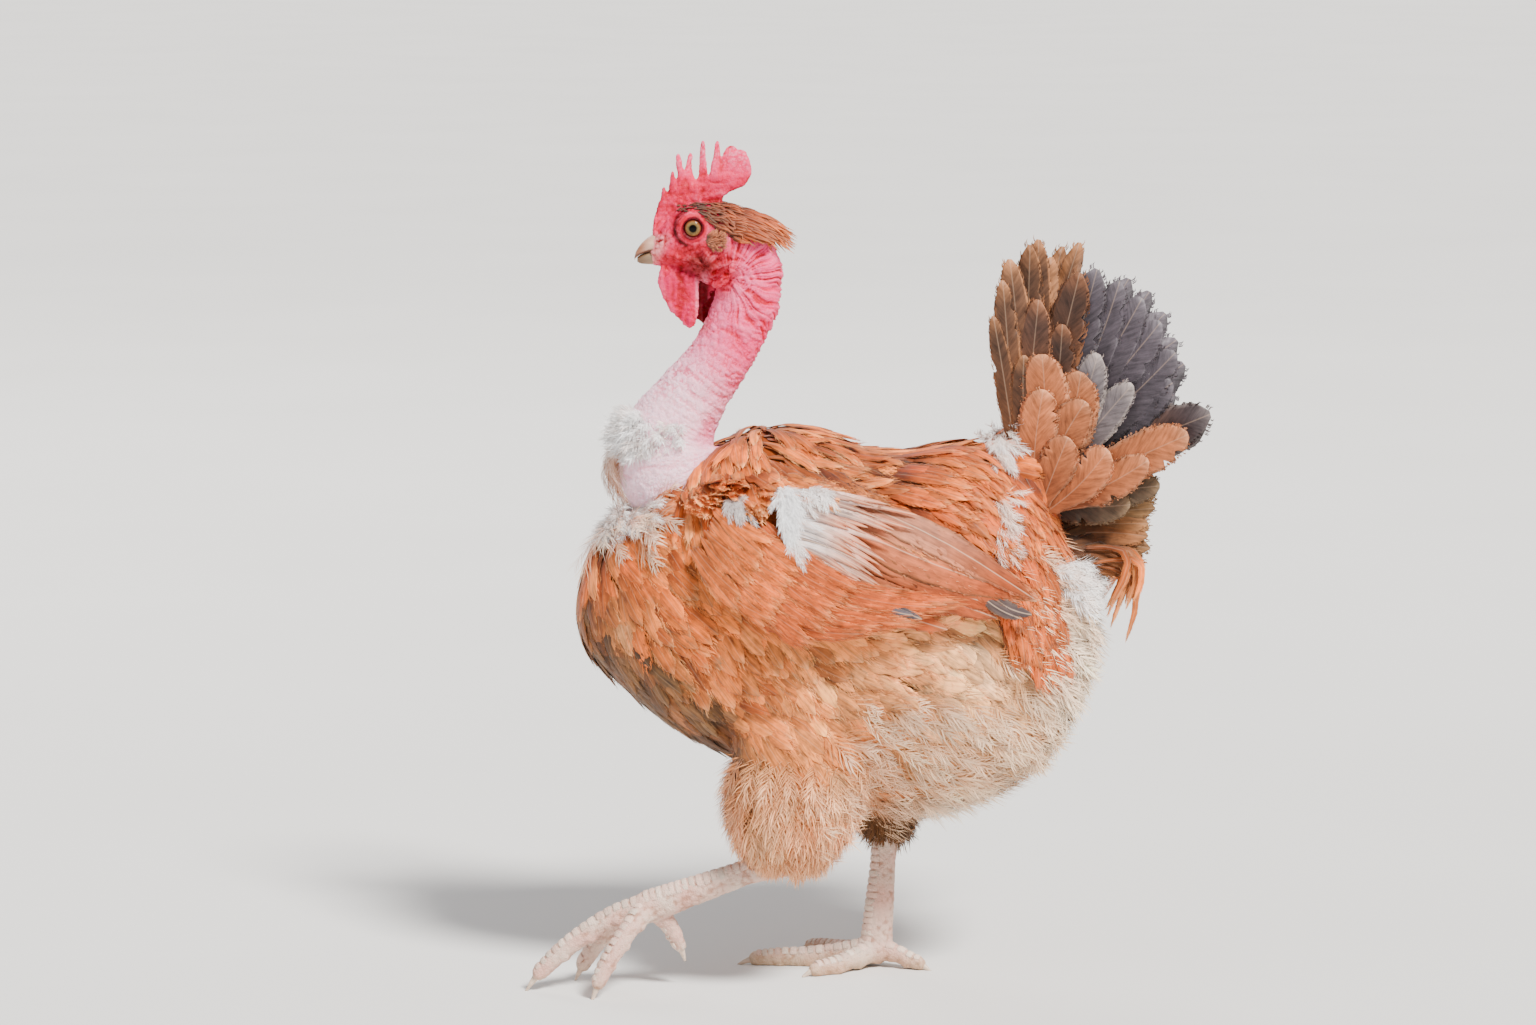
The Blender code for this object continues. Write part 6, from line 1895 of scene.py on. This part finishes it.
def make_materials():
    return {
        "flesh": skin_material("bare_skin", 900.0, 0.00018, 0.36, 0.52, 0.22, (0.006, 0.002, 0.0015)),
        "under": skin_material("covered_skin", 300.0, 0.0003, 0.6, 0.8, 0.0, (0.006, 0.002, 0.0015)),
        "scaly": skin_material("leg_skin", 700.0, 0.0003, 0.38, 0.55, 0.12, (0.004, 0.002, 0.0015)),
        "horn": horn_material("bill_horn", 0.8, 1.12),
        "claw": horn_material("claw_horn", 0.7, 1.1),
        "coat": feather_material("plumage", (1.8, 5.5), 0.1, 0.1, 0.62, 0.16, 1.8),
        "wing": feather_material("wing_plumage", (1.4, 4.5), 0.4, 0.05, 0.55, 0.35, 1.6),
        "tail": feather_material("tail_plumage", (10.0, 1.5), 0.14, 0.03, 0.5, 0.34, 1.6),
        "down": feather_material("down", (4.0, 4.0), 0.0, 0.2, 0.8, 0.86, 1.14),
        "eye": eye_material(),
    }


def declare(piece, slot, *nodes):
    """Attaches a piece to the root and hides the nodes that it is shown in the place of; slot is not used."""
    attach(piece, "root")
    if nodes:
        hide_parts(*nodes)


def main():
    make_camera()
    make_stage()
    materials = make_materials()
    head = head_skin(materials["flesh"])
    body = body_skin(materials["under"])
    legs = [leg_skin(side, materials["scaly"]) for side in SIDES]
    tree = surface_tree(body)
    for piece in (body_coat(body, tree, materials) + thigh_coat(tree, materials)
                  + saddle_coat(tree, materials) + scapular_coat(tree, materials)
                  + vent_coat(tree, materials) + rump_down(tree, materials)):
        declare(piece, "plumage")
    for side in SIDES:
        for piece in wing_coat(side, materials):
            declare(piece, "plumage", "wing_" + side)
    for side in SIDES:
        for piece in tail_coat(side, materials):
            declare(piece, "tail_feathers", "tail")
    for piece in crown_coat(head, materials):
        declare(piece, "plumage", "crown")
    for side in SIDES:
        for piece in ear_coat(side, head, materials):
            declare(piece, "plumage", "ear_" + side)
    for piece in neck_tuft(materials):
        declare(piece, "down", "neck_tuft")
    flesh_nodes = ["head", "neck", "comb", "torso"]
    flesh_nodes += [stem + side for stem in ("wattle_", "ear_", "thigh_", "shank_", "foot_")
                    for side in SIDES]
    declare(join("skin", [head, body, *legs]), "face_skin", *flesh_nodes)
    for side in SIDES:
        declare(make_eye(side, materials["eye"]), "eye", "eye_" + side)
    for piece, node in zip(make_bill(materials["horn"]), ("bill_upper", "bill_lower")):
        declare(piece, "horn", node)
    for side in SIDES:
        for toe in TOES[side]:
            declare(make_claw(side, toe, materials["claw"]), "horn", f"claw_{side}_{toe}")
    for side in SIDES:
        declare(make_scutes(side, materials["scaly"]), "leg_scales")


main()
